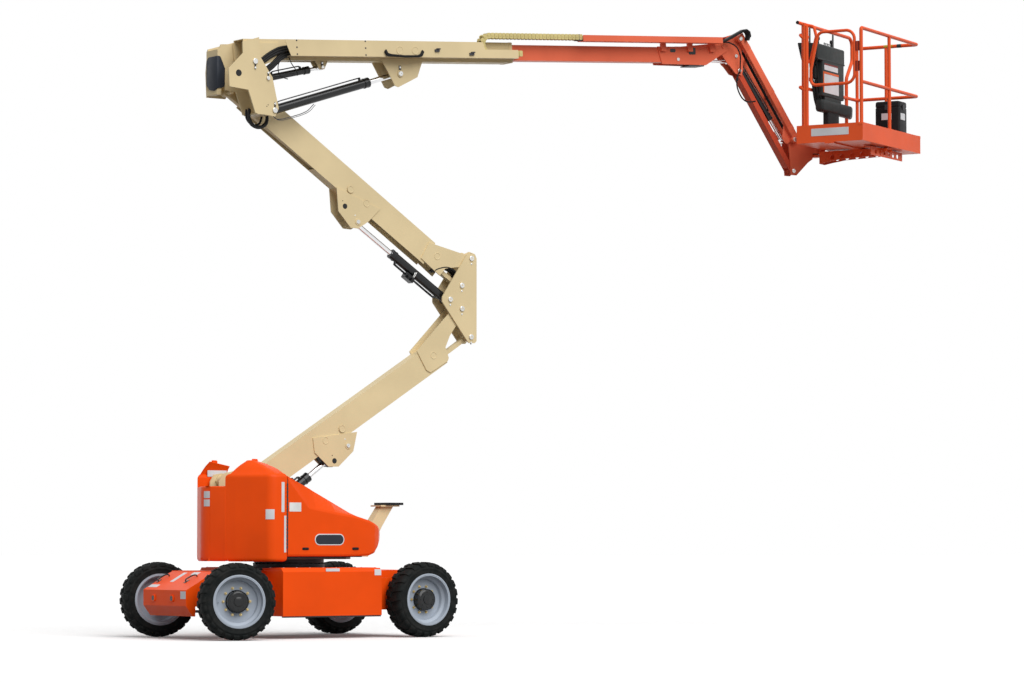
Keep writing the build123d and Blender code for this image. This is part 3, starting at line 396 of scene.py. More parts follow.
def stretch(outline, start, end):
    """The part of an open outline between two distances along it, with its outward normals."""
    spots, walked = [], 0.0
    for a, b in zip(outline, outline[1:]):
        a, b = Vector(a), Vector(b)
        length = (b - a).length
        way = (b - a) / length if length else Vector((1, 0))
        if walked + length > start and walked < end:
            for reach in (max(start, walked), min(end, walked + length)):
                spots.append((a + way * (reach - walked), Vector((way.y, -way.x))))
        walked += length
    return spots


class Kit:
    """Small forms of one finish on one body, gathered into one mesh.  Y is across the machine."""

    def __init__(self, frame=None):
        self.frame = frame or Matrix.Identity(4)
        self.made = bmesh.new()

    def form(self, rings, looped=False):
        """A skin over rings of equally many points, closed at both ends unless the last meets the first."""
        rows = [[self.made.verts.new(self.frame @ Vector(point)) for point in ring] for ring in rings]
        count = len(rows[0])
        for low, high in list(zip(rows, rows[1:])) + ([(rows[-1], rows[0])] if looped else []):
            for i in range(count):
                j = (i + 1) % count
                self.made.faces.new((low[i], low[j], high[j], high[i]))
        if not looped:
            self.made.faces.new(rows[0][::-1])
            self.made.faces.new(rows[-1])

    def stack(self, outline, levels, along="Z"):
        """An outline at (place, depth) levels along an axis, moved inward by each depth."""
        outline = anticlockwise(outline)
        order = {"X": (2, 0, 1), "Y": (0, 2, 1), "Z": (0, 1, 2)}[along]
        self.form([[[(a, b, place)[k] for k in order] for a, b in inset(outline, depth)]
                   for place, depth in levels])

    def plate(self, outline, front, back, edge=0.0, along="Y"):
        """A plate across an axis, its edge eased at the front."""
        levels = [(back, 0), (front, 0)]
        if edge:
            levels[1:] = [(front + math.copysign(edge, back - front), 0), (front, edge)]
        self.stack(outline, levels, along)

    def slab(self, x0, x1, z0, z1, y0, y1, round_by=0.0, edge=0.0):
        """A rectangular plate across Y, its front at y0."""
        self.plate(oblong(x0, x1, z0, z1, round_by), y0, y1, edge)

    def turned(self, profile, centre=(0, 0, 0), along="Y", sides=24, hollow=False):
        """A round form from (radius, distance) points about an axis, closed on itself when hollow."""
        rings = []
        for radius, distance in profile:
            ring = []
            for i in range(sides):
                a = 2 * math.pi * i / sides
                u, v = max(radius, 1e-4) * math.cos(a), max(radius, 1e-4) * math.sin(a)
                spot = {"Y": (u, distance, v), "Z": (u, v, distance), "X": (distance, u, v)}[along]
                ring.append(Vector(centre) + Vector(spot))
            rings.append(ring)
        self.form(rings, looped=hollow)

    def sticker(self, spots, z0, z1, thickness=0.0022):
        """A thin sheet that follows a stretch of outline."""
        ring = [tuple(point + normal * thickness) for point, normal in spots]
        ring += [tuple(point - normal * 0.001) for point, normal in reversed(spots)]
        self.form([[(x, y, z) for x, y in ring] for z in (z0, z1)])

    def pin_head(self, x, z, y, side=-1, radius=0.021, proud=0.008):
        """A turned pin's end with a small centre and an eased rim."""
        out = side * proud
        self.turned([(radius, 0), (radius, out * 0.7), (radius * 0.86, out), (radius * 0.3, out),
                     (radius * 0.22, out * 0.6), (0, out * 0.6)], (x, y, z))

    def bolt(self, x, z, y, side=-1, radius=0.009, high=0.007):
        """A hexagon head on its washer."""
        self.turned([(radius * 1.35, 0), (radius * 1.35, side * 0.0016), (radius, side * 0.0016)], (x, y, z),
                    sides=16)
        self.turned([(radius, 0), (radius, side * high * 0.85), (radius * 0.8, side * high),
                     (0, side * high)],
                    (x, y, z), sides=6)

    def weld(self, x, z, y, radius=0.036):
        """A plug weld: a low ring round a slightly sunk middle."""
        self.turned([(radius, 0), (radius, -0.0022), (radius * 0.9, -0.0034), (radius * 0.78, -0.0022),
                     (radius * 0.74, -0.0008), (0, -0.0008)], (x, y, z), sides=28)

    def bore(self, x, z, y, radius, sides=28):
        """A dark disc, painted shade that stands for the inside of an open bore."""
        self.turned([(radius, 0), (radius, -0.0006), (0, -0.0006)], (x, y, z), sides=sides)

    def tube(self, points, radius, sides=10, smooth=0):
        """A round tube along points, eased through them when smooth."""
        spots = eased(points, smooth) if smooth else [Vector(point) for point in points]
        across = (spots[1] - spots[0]).normalized().orthogonal().normalized()
        rings = []
        for i, spot in enumerate(spots):
            now = (spots[min(i + 1, len(spots) - 1)] - spots[max(i - 1, 0)]).normalized()
            across = (across - now * across.dot(now)).normalized()
            other = now.cross(across)
            turns = [2 * math.pi * j / sides for j in range(sides)]
            rings.append([spot + (across * math.cos(a) + other * math.sin(a)) * radius for a in turns])
        self.form(rings)

    def piece(self, name, bevel=0.0, steps=1, angle=30):
        """The forms as one object."""
        bmesh.ops.recalc_face_normals(self.made, faces=self.made.faces)
        mesh = bpy.data.meshes.new(name)
        self.made.to_mesh(mesh)
        self.made.free()
        piece = linked(name, mesh)
        if bevel:
            cut = piece.modifiers.new("edges", "BEVEL")
            cut.width, cut.segments, cut.limit_method = bevel, steps, "ANGLE"
            cut.angle_limit = math.radians(angle)
        return piece

    def done(self, name, body, slot, material, *replaced, bevel=0.0, angle=32, steps=2):
        """The forms as a finished piece."""
        finished(settled(self.piece(name, bevel, steps, angle), angle), body, slot, material, *replaced)

    def repeated(self, name, body, slot, material, where=None, bevel=0.0, **inputs):
        """The forms as a finished piece that repeats them by a count, a step and a turn."""
        piece = settled(self.piece(name, bevel))
        piece.data.materials.append(material)
        grow(piece, REPEAT, where, finish=material, **inputs)
        finished(piece, body, slot, material)


def tree_with(name, inputs):
    """A geometry tree with a mesh in, a mesh out and named inputs."""
    tree = bpy.data.node_groups.new(name, "GeometryNodeTree")
    tree.interface.new_socket("Geometry", in_out="INPUT", socket_type="NodeSocketGeometry")
    for label, kind in inputs.items():
        tree.interface.new_socket(label, in_out="INPUT", socket_type=f"NodeSocket{kind}")
    tree.interface.new_socket("Geometry", in_out="OUTPUT", socket_type="NodeSocketGeometry")
    return tree, added(tree, "NodeGroupInput").outputs


def end_tree(tree, given, points, instance, turn):
    """Puts an instance on each point, makes them real and gives them the finish."""
    placed = added(tree, "GeometryNodeInstanceOnPoints",
                   {"Points": points, "Instance": instance, "Rotation": turn})
    real = added(tree, "GeometryNodeRealizeInstances", {0: placed.outputs[0]})
    dressed = added(tree, "GeometryNodeSetMaterial", {0: real.outputs[0], "Material": given["Finish"]})
    added(tree, "NodeGroupOutput", {0: dressed.outputs[0]})
    return tree


def repeat_tree():
    """Repeats the piece's own mesh, moved by a step and turned by an angle each time."""
    inputs = {"Count": "Int", "Step": "Vector", "Turn": "Vector", "Finish": "Material"}
    tree, given = tree_with("repeat_piece", inputs)
    index = added(tree, "GeometryNodeInputIndex").outputs[0]
    step, turn = [added(tree, "ShaderNodeVectorMath", {0: given[label], "Scale": index},
                        operation="SCALE").outputs[0]
                  for label in ("Step", "Turn")]
    points = added(tree, "GeometryNodePoints", {"Count": given["Count"], "Position": step})
    spin = added(tree, "FunctionNodeEulerToRotation", {0: turn})
    return end_tree(tree, given, points.outputs[0], given["Geometry"], spin.outputs[0])


def chain_tree():
    """Places links along the piece's own line, each turned with it about Y."""
    tree, given = tree_with("chain_of_links", {"Link": "Object", "Count": "Int", "Finish": "Material"})
    line = added(tree, "GeometryNodeMeshToCurve", {"Mesh": given["Geometry"]})
    spots = added(tree, "GeometryNodeCurveToPoints", {"Curve": line.outputs[0], "Count": given["Count"]})
    turn = added(tree, "FunctionNodeAlignRotationToVector", {"Vector": spots.outputs["Tangent"]},
                 axis="X", pivot_axis="Y")
    link = added(tree, "GeometryNodeObjectInfo", {"Object": given["Link"]})
    return end_tree(tree, given, spots.outputs["Points"], link.outputs["Geometry"], turn.outputs[0])


REPEAT, CHAIN = repeat_tree(), chain_tree()


def grow(piece, tree, where=None, **inputs):
    """Runs a geometry tree on the piece, then puts the piece in its place."""
    modifier = piece.modifiers.new("grow", "NODES")
    modifier.node_group = tree
    for item in tree.interface.items_tree:
        label = item.name.lower()
        if item.in_out == "INPUT" and label in inputs:
            modifier[item.identifier] = inputs[label]
    settled(piece)
    if where:
        piece.data.transform(where)


# ---------------------------------------------------------------- wheels
LUGS, HUB_BOLTS, WHEEL_NUTS = 24, 8, 10
# half of the carcass: radius, distance from the wheel's middle
CARCASS = [(0.2325, 0.098), (0.240, 0.1045), (0.2465, 0.1165), (0.262, 0.1195), (0.285, 0.1185),
           (0.287, 0.1202),
           (0.294, 0.1202), (0.2965, 0.1178), (0.312, 0.114), (0.327, 0.105), (0.337, 0.090), (0.342, 0.055),
           (0.343, 0.0)]
# a lug from the middle over the shoulder: distance and radius of its top, then of its foot
LUG = ((0.006, 0.3545, 0.006, 0.336), (0.05, 0.3540, 0.05, 0.335), (0.082, 0.3515, 0.082, 0.331),
       (0.101, 0.3455, 0.095, 0.324), (0.114, 0.334, 0.106, 0.316), (0.1195, 0.319, 0.112, 0.309),
       (0.1185, 0.311, 0.112, 0.305))
# degrees, the second and third for each metre from the middle
LUG_HALF_TURN, LUG_SPREAD, LUG_SLANT, LUG_OFFSET = 3.6, 1.1 / 0.12, 4.2 / 0.12, 7.5


def wheel_frame(joint):
    """A wheel's own frame: Y runs outboard along its axle."""
    axis, where = joints[joint]["axis"], at(joint)
    outboard = 0 if where.y > 0 else math.pi
    return Matrix.Translation(where) @ Matrix.Rotation(math.atan2(-axis[0], axis[1]) + outboard, 4, "Z")


def make_tyre(name, where):
    """A pneumatic tyre: a carcass with a ridge on its walls, and angled lugs that wrap the shoulders."""
    carcass = Kit(where)
    carcass.turned(CARCASS + [(r, -y) for r, y in CARCASS[-2::-1]], sides=96, hollow=True)
    carcass.done(f"tyre_{name}_carcass", f"wheel_{name}", "tyre_rubber", TYRE, f"tyre_{name}", angle=50)
    lug = Kit()
    for side, lead in ((1, 0.0), (-1, LUG_OFFSET)):
        rings = []
        for y, r, y_foot, r_foot in LUG:
            slant, half = lead + LUG_SLANT * y, LUG_HALF_TURN + LUG_SPREAD * y
            corners = ((r_foot, y_foot, slant - half * 1.1), (r, y, slant - half), (r, y, slant + half),
                       (r_foot, y_foot, slant + half * 1.1))
            rings.append([(radius * math.cos(math.radians(turn)), side * across,
                           radius * math.sin(math.radians(turn))) for radius, across, turn in corners])
        lug.form(rings)
    lug.repeated(f"tyre_{name}_lugs", f"wheel_{name}", "tyre_rubber", TYRE, where, bevel=0.003, count=LUGS,
                 turn=(0, 2 * math.pi / LUGS, 0))


def make_hub(name, where):
    """A black drive hub with its bolts, ten brass nuts on their studs, the valve and the rim's lip."""
    wheel = f"wheel_{name}"
    hub = Kit(where)
    hub.turned([(0.106, 0.0145), (0.106, 0.022), (0.100, 0.030), (0.0995, 0.080), (0.094, 0.086),
                (0.080, 0.0935),
                (0.046, 0.0935), (0.043, 0.100), (0.028, 0.104), (0, 0.105)], sides=48)
    hub.done(f"hub_{name}", wheel, "dark_steel", BLACK, angle=28)
    cap = Kit()
    cap.bolt(0.070, 0, 0.0935, 1, 0.006, 0.005)
    cap.repeated(f"hub_{name}_bolts", wheel, "dark_steel", BLACK, where, count=HUB_BOLTS,
                 turn=(0, 2 * math.pi / HUB_BOLTS, 0))
    nut = Kit()
    nut.turned([(0.013, 0.013), (0.013, 0.0165), (0.0095, 0.0165)], (0.126, 0, 0), sides=16)
    nut.turned([(0.0095, 0.013), (0.0095, 0.026), (0.007, 0.029), (0.0055, 0.029), (0.0055, 0.034),
                (0, 0.035)],
               (0.126, 0, 0), sides=6)
    nut.repeated(f"nuts_{name}", wheel, "dark_steel", BRASS, where, count=WHEEL_NUTS,
                 turn=(0, 2 * math.pi / WHEEL_NUTS, 0))
    trim = Kit(where)
    trim.tube([(0.168, 0.022, 0), (0.176, 0.040, 0), (0.182, 0.052, 0)], 0.004)
    trim.turned([(0.2345, 0.121), (0.2445, 0.119), (0.2445, 0.1165), (0.2345, 0.1165)], sides=72, hollow=True)
    trim.done(f"rim_{name}_trim", wheel, "grey_paint", RIM_GREY)


def make_wheels():
    """Four wheels, each on its own axle."""
    for name in ("front_near", "front_far", "rear_near", "rear_far"):
        where = wheel_frame(f"wheel_{name}_roll")
        make_tyre(name, where)
        make_hub(name, where)


# ---------------------------------------------------------------- hoods
SEAM_X, HALF = -0.434, 0.670                     # the seam between the hoods, and their outer face
SKIRT, EAVE, CREST, TAIL_TOP = 0.716, 1.530, 1.655, 1.415
SHOULDER = EAVE + 0.002                          # where the roof starts
LOW_EDGE = ((0.0, 0.022), (0.004, 0.014), (0.012, 0.006), (0.024, 0.0015), (0.040, 0.0))


def on_side(outline, side):
    """The outline on its own side of the machine, still anticlockwise."""
    return outline if side < 0 else [(x, -y) for x, y in reversed(outline)]


def crest_height(x):
    """The roof's crest falls a little towards the seam."""
    return CREST - max(0.0, (x + 0.590) * 0.30)


def make_rear_hood(name, side, inner):
    """A moulded hood: rounded corners, a soft lower edge and a hipped roof with a small boss."""
    far = side > 0
    eave = [(-0.799, inner + 0.001), (-0.790, -0.362)] if far else [(-0.852, inner), (-0.800, -0.345)]
    eave += [(-0.602, -HALF), (SEAM_X - 0.005, -HALF), (SEAM_X - 0.005, inner)]
    crest = [(-0.672, -0.335), (-0.668, -0.352), (-0.632, -0.394), (-0.470, -0.386), (-0.452, -0.335)]
    outline = on_side(softened(eave, [0, 0 if far else 0.22, 0.115, 0, 0], 7), side)
    top = on_side(softened(crest, [0, 0 if far else 0.012, 0.018, 0, 0], 7), side)
    walls = [(SKIRT + up, depth) for up, depth in LOW_EDGE]
    walls += [(EAVE - 0.040, 0.0), (EAVE - 0.022, 0.003), (EAVE - 0.008, 0.012), (SHOULDER, 0.026)]
    rings = [[(x, y, z) for x, y in inset(outline, depth)] for z, depth in walls]
    shoulder = rings[-1]
    for share in (0.3, 0.6, 0.9):
        swell = 0.010 * math.sin(math.pi * share)
        rings.append([(x0 + (x1 - x0) * share, y0 + (y1 - y0) * share,
                       SHOULDER + (crest_height(x1) - 0.006 - SHOULDER) * share + swell)
                      for (x0, y0, _), (x1, y1) in zip(shoulder, top)])
    rings.append([(x, y, crest_height(x) - 0.003) for x, y in top])
    rings.append([(x, y, crest_height(x)) for x, y in inset(top, 0.006)])
    hood = Kit()
    hood.form(rings)
    boss = softened([(-0.655, -0.352), (-0.615, -0.384), (-0.575, -0.380), (-0.572, -0.348)], 0.012, 3)
    hood.form([[(x, y, crest_height(x) + up) for x, y in inset(on_side(boss, side), depth)]
               for up, depth in ((-0.012, 0), (0.009, 0.001), (0.013, 0.005))])
    if far:
        tail = softened([(-0.922, -0.078), (-0.962, 0.0), (-0.794, 0.352), (-0.764, 0.347), (-0.885, 0.085),
                         (-0.885, -0.078)], [0, 0.20, 0, 0, 0, 0], 9)
    else:
        tail = [(-0.9195, -0.088), (-0.852, inner - 0.002), (-0.826, inner - 0.002), (-0.884, -0.088)]
    hood.stack(tail, ((SKIRT + 0.002, 0.012), (SKIRT + 0.012, 0.004), (SKIRT + 0.040, 0.0),
                      (TAIL_TOP - 0.012, 0.0),
                      (TAIL_TOP - 0.004, 0.0035), (TAIL_TOP, 0.0108)))
    hood.done(f"hood_rear_{name}_skin", f"hood_rear_{name}", "orange_paint", ORANGE, f"hood_rear_{name}",
              angle=40)


# x, outer y, bottom z, crease z, ridge y, ridge z
FRONT_RIBS = ((SEAM_X + 0.005, 0.670, 0.762, 1.492, 0.650, 1.512),
              (-0.320, 0.670, 0.762, 1.365, 0.636, 1.462),
              (-0.199, 0.670, 0.762, 1.226, 0.622, 1.411), (-0.120, 0.670, 0.762, 1.208, 0.602, 1.376),
              (0.100, 0.670, 0.762, 1.170, 0.562, 1.280), (0.333, 0.668, 0.763, 1.134, 0.520, 1.178),
              (0.480, 0.658, 0.768, 1.095, 0.490, 1.112), (0.550, 0.642, 0.790, 1.067, 0.476, 1.082),
              (0.610, 0.608, 0.850, 1.043, 0.462, 1.056), (0.660, 0.555, 0.897, 1.022, 0.445, 1.034),
              (0.705, 0.490, 0.926, 1.002, 0.415, 1.012), (0.740, 0.415, 0.942, 0.988, 0.375, 0.995),
              (0.758, 0.370, 0.950, 0.980, 0.350, 0.984))


def make_front_hood(name, side, inner):
    """A sloping hood: a proud crease falls from the seam and runs out to the nose."""
    hood = Kit()
    rings = []
    for x, out, low, crease, ridge, top in FRONT_RIBS:
        inside, ridge = min(inner, out - 0.06), min(ridge, out - 0.012)
        fold, fold_z = out - 0.007, crease + 0.004
        rib = [(inside, low), (out - 0.022, low), (out - 0.006, low + 0.006), (out, low + 0.022),
               (out, crease - 0.050), (out, crease - 0.018), (fold, fold_z)]
        rib += [(fold + (ridge - fold) * share, fold_z + (top - crease - 0.008) * share)
                for share in (0.33, 0.66)]
        rib += [(ridge + 0.006, top - 0.005), (ridge - 0.02, top), ((ridge + inside) / 2, top + 0.002),
                (inside, top - 0.01)]
        rings.append([(x, side * y, z) for y, z in rib])
    hood.form(rings)
    hood.done(f"hood_front_{name}_skin", f"hood_front_{name}", "orange_paint", ORANGE, f"hood_front_{name}",
              bevel=0.010, angle=13, steps=3)


def make_side_details(name, side):
    """One side's long hinge at the seam, latches, and bare labels and plates."""
    front, rear = f"hood_front_{name}", f"hood_rear_{name}"

    def face(proud):
        """How far across a thing lies that stands proud of the hoods."""
        return side * (HALF + proud)

    knuckle = Kit()
    knuckle.turned([(0.006, 0.0), (0.0075, 0.001), (0.0075, 0.024), (0.006, 0.025)],
                   (SEAM_X - 0.002, face(0.002), 0.835),
                   along="Z", sides=10)
    knuckle.repeated(f"seam_hinge_{name}", "turret", "dark_steel", DARK_STEEL, count=18, step=(0, 0, 0.034))
    rail = Kit()
    rail.slab(SEAM_X - 0.0045, SEAM_X + 0.0045, 0.80, 1.47, face(-0.004), face(-0.018))
    rail.done(f"seam_rail_{name}", "turret", "dark_steel", DARK_STEEL)
    latch = Kit()
    for x in (-0.236, 0.317):
        latch.plate(oblong(x - 0.036, x + 0.036, 0.822, 0.846, 0.010), face(0.0035), face(-0.0015), 0.0012)
        latch.plate(softened([(x - 0.018, 0.826), (x + 0.030, 0.832), (x + 0.026, 0.843), (x - 0.022, 0.838)],
                             0.004, 3),
                    face(0.0115), face(0.0005), 0.002)
    latch.done(f"hood_latches_{name}", front, "black_plastic", BLACK_PLASTIC)
    oval = oblong(-0.135, 0.190, 0.866, 0.972, 0.052, 8)
    badge = Kit()
    badge.plate(oval, face(0.0028), face(-0.001), 0.001)
    badge.done(f"model_plate_rim_{name}", front, "orange_paint", LABEL)
    badge = Kit()
    badge.plate(inset(oval, 0.009), face(0.0040), face(0.001), 0.001)
    badge.done(f"model_plate_{name}", front, "black_plastic", SLATE)
    silver = Kit()
    silver.slab(-0.414, -0.285, 1.178, 1.262, face(0.002), face(-0.001), 0.006, 0.0006)
    silver.done(f"rating_plate_{name}", front, "grey_paint", ZINC)
    strip = Kit()
    strip.slab(-0.500, -0.468, 1.172, 1.450, face(0.0018), face(-0.001), 0.004, 0.0006)
    strip.slab(-0.4705, -0.448, 0.80, 1.14, face(0.0014), face(-0.001), 0.004, 0.0005)
    strip.done(f"hood_strip_{name}", rear, "orange_paint", LABEL)


def make_hood_labels():
    """Bare labels on the rounded corners and on the inner face."""
    label = Kit()
    corner = softened([(-0.800, -0.345), (-0.602, -HALF), (SEAM_X - 0.005, -HALF)], [0, 0.115, 0], 12)
    label.sticker(stretch(corner, 0.315, 0.398), 1.106, 1.198)
    label.done("corner_label", "hood_rear_near", "orange_paint", LABEL)
    pair = Kit()
    tail = softened([(-0.794, 0.352), (-0.962, 0.0), (-0.922, -0.078)], [0, 0.20, 0], 12)
    for z in (1.228, 1.305):
        pair.sticker(stretch(tail, 0.395, 0.470), z, z + 0.064)
    pair.done("tail_labels", "hood_rear_far", "orange_paint", LABEL)
    label = Kit()
    label.slab(-0.690, -0.480, 1.512, 1.572, 0.3435, 0.347, 0.005, 0.0006)
    label.done("inner_label", "hood_rear_far", "orange_paint", LABEL)


def make_hoods():
    """Two rear hoods that swing and two front hoods that lift, with what is on them."""
    for name, side, rear_inner, front_inner in (("near", -1, -0.250, 0.270), ("far", 1, -0.345, 0.350)):
        make_rear_hood(name, side, rear_inner)
        make_front_hood(name, side, front_inner)
    make_side_details("near", -1)
    make_side_details("far", 1)
    make_hood_labels()


def make_turntable():
    """The slewing ring and the plate that carries the hoods."""
    table = Kit()
    plan = arc((0, 0), 0.860, 138, 222, 20) + [(-0.40, -0.575), (0.30, -0.53)]
    plan += arc((0.10, 0), 0.50, -60, 60, 18) + [(0.30, 0.53), (-0.40, 0.575)]
    table.stack(plan, ((0.735, 0.001), (0.737, 0), (0.755, 0)))
    table.turned([(0.332, 0.6555), (0.338, 0.657), (0.338, 0.690), (0.322, 0.693), (0.322, 0.700),
                  (0.332, 0.703),
                  (0.332, 0.734), (0.300, 0.7345)], along="Z", sides=96)
    table.done("turntable_plate", "turret", "dark_steel", DARK_STEEL, "turntable")
    cap = Kit()
    cap.turned([(0.009, 0.690), (0.009, 0.6975), (0.0075, 0.699), (0, 0.699)], (0.330, 0, 0), along="Z",
               sides=6)
    cap.repeated("turntable_bolts", "turret", "dark_steel", DARK_STEEL, count=36,
                 turn=(0, 0, 2 * math.pi / 36))


# ---------------------------------------------------------------- chassis
NOSE_X, BOX_FACE = -1.35, -0.7520


def make_nose():
    """Cable loops and bare labels on the sloping nose."""
    slope = Matrix.Translation((NOSE_X, 0, 0.455)) @ Matrix.Rotation(-math.atan2(0.170, 0.310), 4, "Y")
    loops = Kit(slope)
    s = 0.205
    for t in (0.344, -0.162):
        loops.tube([(s - 0.050, t, -0.004), (s - 0.050, t, 0.016), (s - 0.030, t, 0.024),
                    (s + 0.030, t - 0.02, 0.024),
                    (s + 0.050, t - 0.045, 0.016), (s + 0.050, t - 0.045, -0.004)], 0.0065, smooth=3)
        loops.slab(s - 0.072, s - 0.020, -0.002, 0.004, t - 0.016, t + 0.016)
    loops.done("nose_loops", "chassis", "black_paint", BLACK)
    labels = Kit(slope)
    for along, across, length, width in ((0.045, 0.30, 0.05, 0.16), (0.150, 0.100, 0.175, 0.060),
                                         (0.285, -0.100, 0.050, 0.120)):
        labels.stack(oblong(along, along + length, across - width / 2, across + width / 2),
                     ((-0.001, 0), (0.0018, 0)))
    labels.done("nose_labels", "chassis", "orange_paint", LABEL)


def make_chassis():
    """Feet and covers on the side boxes, the nose's loops and labels, tie-down eyes and screws."""
    trim = Kit()
    for side in (-1, 1):
        trim.slab(-0.520, 0.550, 0.200, 0.213, side * 0.7515, side * 0.715, 0.003)
    trim.done("side_box_feet", "chassis", "dark_steel", BLACK)
    make_nose()
    plates = Kit()
    plates.slab(-0.063, 0.088, 0.6235, 0.652, BOX_FACE, -0.748, 0.004, 0.0005)
    plates.slab(0.478, 0.552, 0.585, 0.642, BOX_FACE, -0.748, 0.004, 0.0005)
    plates.plate(oblong(-0.385, -0.290, 0.375, 0.445), NOSE_X - 0.0015, NOSE_X + 0.0015, along="X")
    plates.done("chassis_labels", "chassis", "orange_paint", LABEL)
    # Black insets in the tie-down eyes: painted shade standing for the open holes.
    rims, holes = Kit(), Kit()
    for y in (0.199, -0.139):
        ring = oblong(y - 0.032, y + 0.032, 0.345, 0.412, 0.022)
        for kit, shrink, front in ((rims, 0.0, NOSE_X - 0.010), (holes, 0.010, NOSE_X - 0.0104)):
            kit.stack(ring, ((NOSE_X + 0.002, shrink), (front + 0.002, shrink), (front, shrink + 0.002)), "X")
    rims.done("tie_down_rims", "chassis", "orange_paint", ORANGE)
    holes.done("tie_down_holes", "chassis", "dark_steel", BLACK)
    covers = Kit()
    for side in (-1, 1):
        for x0, x1 in ((-0.50, -0.02), (0.02, 0.54)):
            covers.stack(oblong(x0, x1, side * 0.44, side * 0.70, 0.02, 4),
                         ((0.654, 0), (0.657, 0), (0.6585, 0.002)))
    covers.done("deck_covers", "chassis", "orange_paint", ORANGE)
    for row, y in enumerate((-0.685, -0.455, 0.455, 0.685)):
        screw = Kit()
        screw.turned([(0.007, 0.0), (0.007, 0.002), (0.0055, 0.0036), (0, 0.004)], (-0.485, y, 0.658), "Z",
                     10)
        screw.repeated(f"deck_screws_{row}", "chassis", "dark_steel", ZINC, count=8, step=(0.144, 0, 0))


# ---------------------------------------------------------------- riser, upright and boom hardware
ARM_FACE, JAW_FACE = 0.150, 0.138                # near faces of the riser's cheek plates and jaws
UPRIGHT_FACE, BOOM_FACE, TRAY_FACE = -0.120, -0.095, -0.2005


def make_riser_hardware():
    """Welds, pins and black discs of painted shade for the bores on both arms, the knee's pins and hoses, and
    a pad by the low cylinder.
    """
    for body, discs, (pin_x, pin_z), (hole_x, hole_z) in (
            ("lower_arm", ((0.508, 1.869), (0.697, 1.985), (1.760, 2.724)), (0.763, 1.823), (0.608, 1.674)),
            ("upper_arm", ((0.786, 4.304), (0.971, 4.178), (1.803, 3.702)), (0.872, 3.992), (0.721, 4.136))):
        welds, heads, bores = Kit(), Kit(), Kit()
        for x, z in discs:
            welds.weld(x, z, ARM_FACE)
        welds.done(f"{body}_plug_welds", body, "tan_paint", TAN)
        heads.pin_head(pin_x, pin_z, ARM_FACE, proud=0.012)
        heads.bolt(pin_x - 0.035, pin_z + 0.062, ARM_FACE, radius=0.005, high=0.003)
        heads.done(f"{body}_lug_pin", body, "chromed_rod", ZINC)
        # Black discs on the arm's face: painted shade for an open bore and a small hole beside it.
        bores.bore(hole_x, hole_z, ARM_FACE, 0.026)
        bores.bore(hole_x - 0.026, hole_z + 0.052, ARM_FACE, 0.005, 12)
        bores.done(f"{body}_bore", body, "dark_steel", BLACK)
    heads, keepers = Kit(), Kit()
    foot, knee, link = at("tower_lift"), at("knee_pivot"), at("lower_link_pivot")
    for spot in (knee, at("upper_arm_pivot"), at("upper_link_pivot"), link + knee - foot,
                 at("tower_cylinder_high_swing")):
        heads.pin_head(spot.x, spot.z, JAW_FACE - 0.011, radius=0.026, proud=0.010)
        keepers.slab(spot.x - 0.007, spot.x + 0.007, spot.z - 0.074, spot.z + 0.050, JAW_FACE - 0.005,
                     JAW_FACE - 0.001, 0.005, 0.001)
        heads.bolt(spot.x, spot.z - 0.055, JAW_FACE - 0.008, radius=0.007, high=0.006)
    heads.done("knee_pin_heads", "knee", "chromed_rod", ZINC)
    keepers.done("knee_keepers", "knee", "dark_steel", DARK_STEEL)
    heads = Kit()
    for spot in (foot, link, at("tower_cylinder_low_swing")):
        heads.pin_head(spot.x, spot.z, JAW_FACE - 0.011, radius=0.026, proud=0.010)
    heads.done("foot_pin_heads", "turret", "chromed_rod", ZINC)
    bundle = Kit()
    for i in range(5):
        y, low = 0.160 + 0.022 * i, 0.010 * (i % 2)
        bundle.tube([(1.775, y, 3.560 - low), (1.840, y, 3.585 - low), (1.930, y, 3.596 - low),
                     (2.020, y, 3.560 - low), (2.075, y, 3.480)], 0.012, 10, 5)
    bundle.done("knee_hoses", "knee", "black_plastic", RUBBER)
    pad = Kit()
    pad.plate([(0.443, 1.724), (0.520, 1.640), (0.601, 1.613), (0.612, 1.640), (0.470, 1.748)], 0.168, 0.272)
    pad.done("lower_lug_pad", "lower_arm", "black_plastic", RUBBER, bevel=0.004)


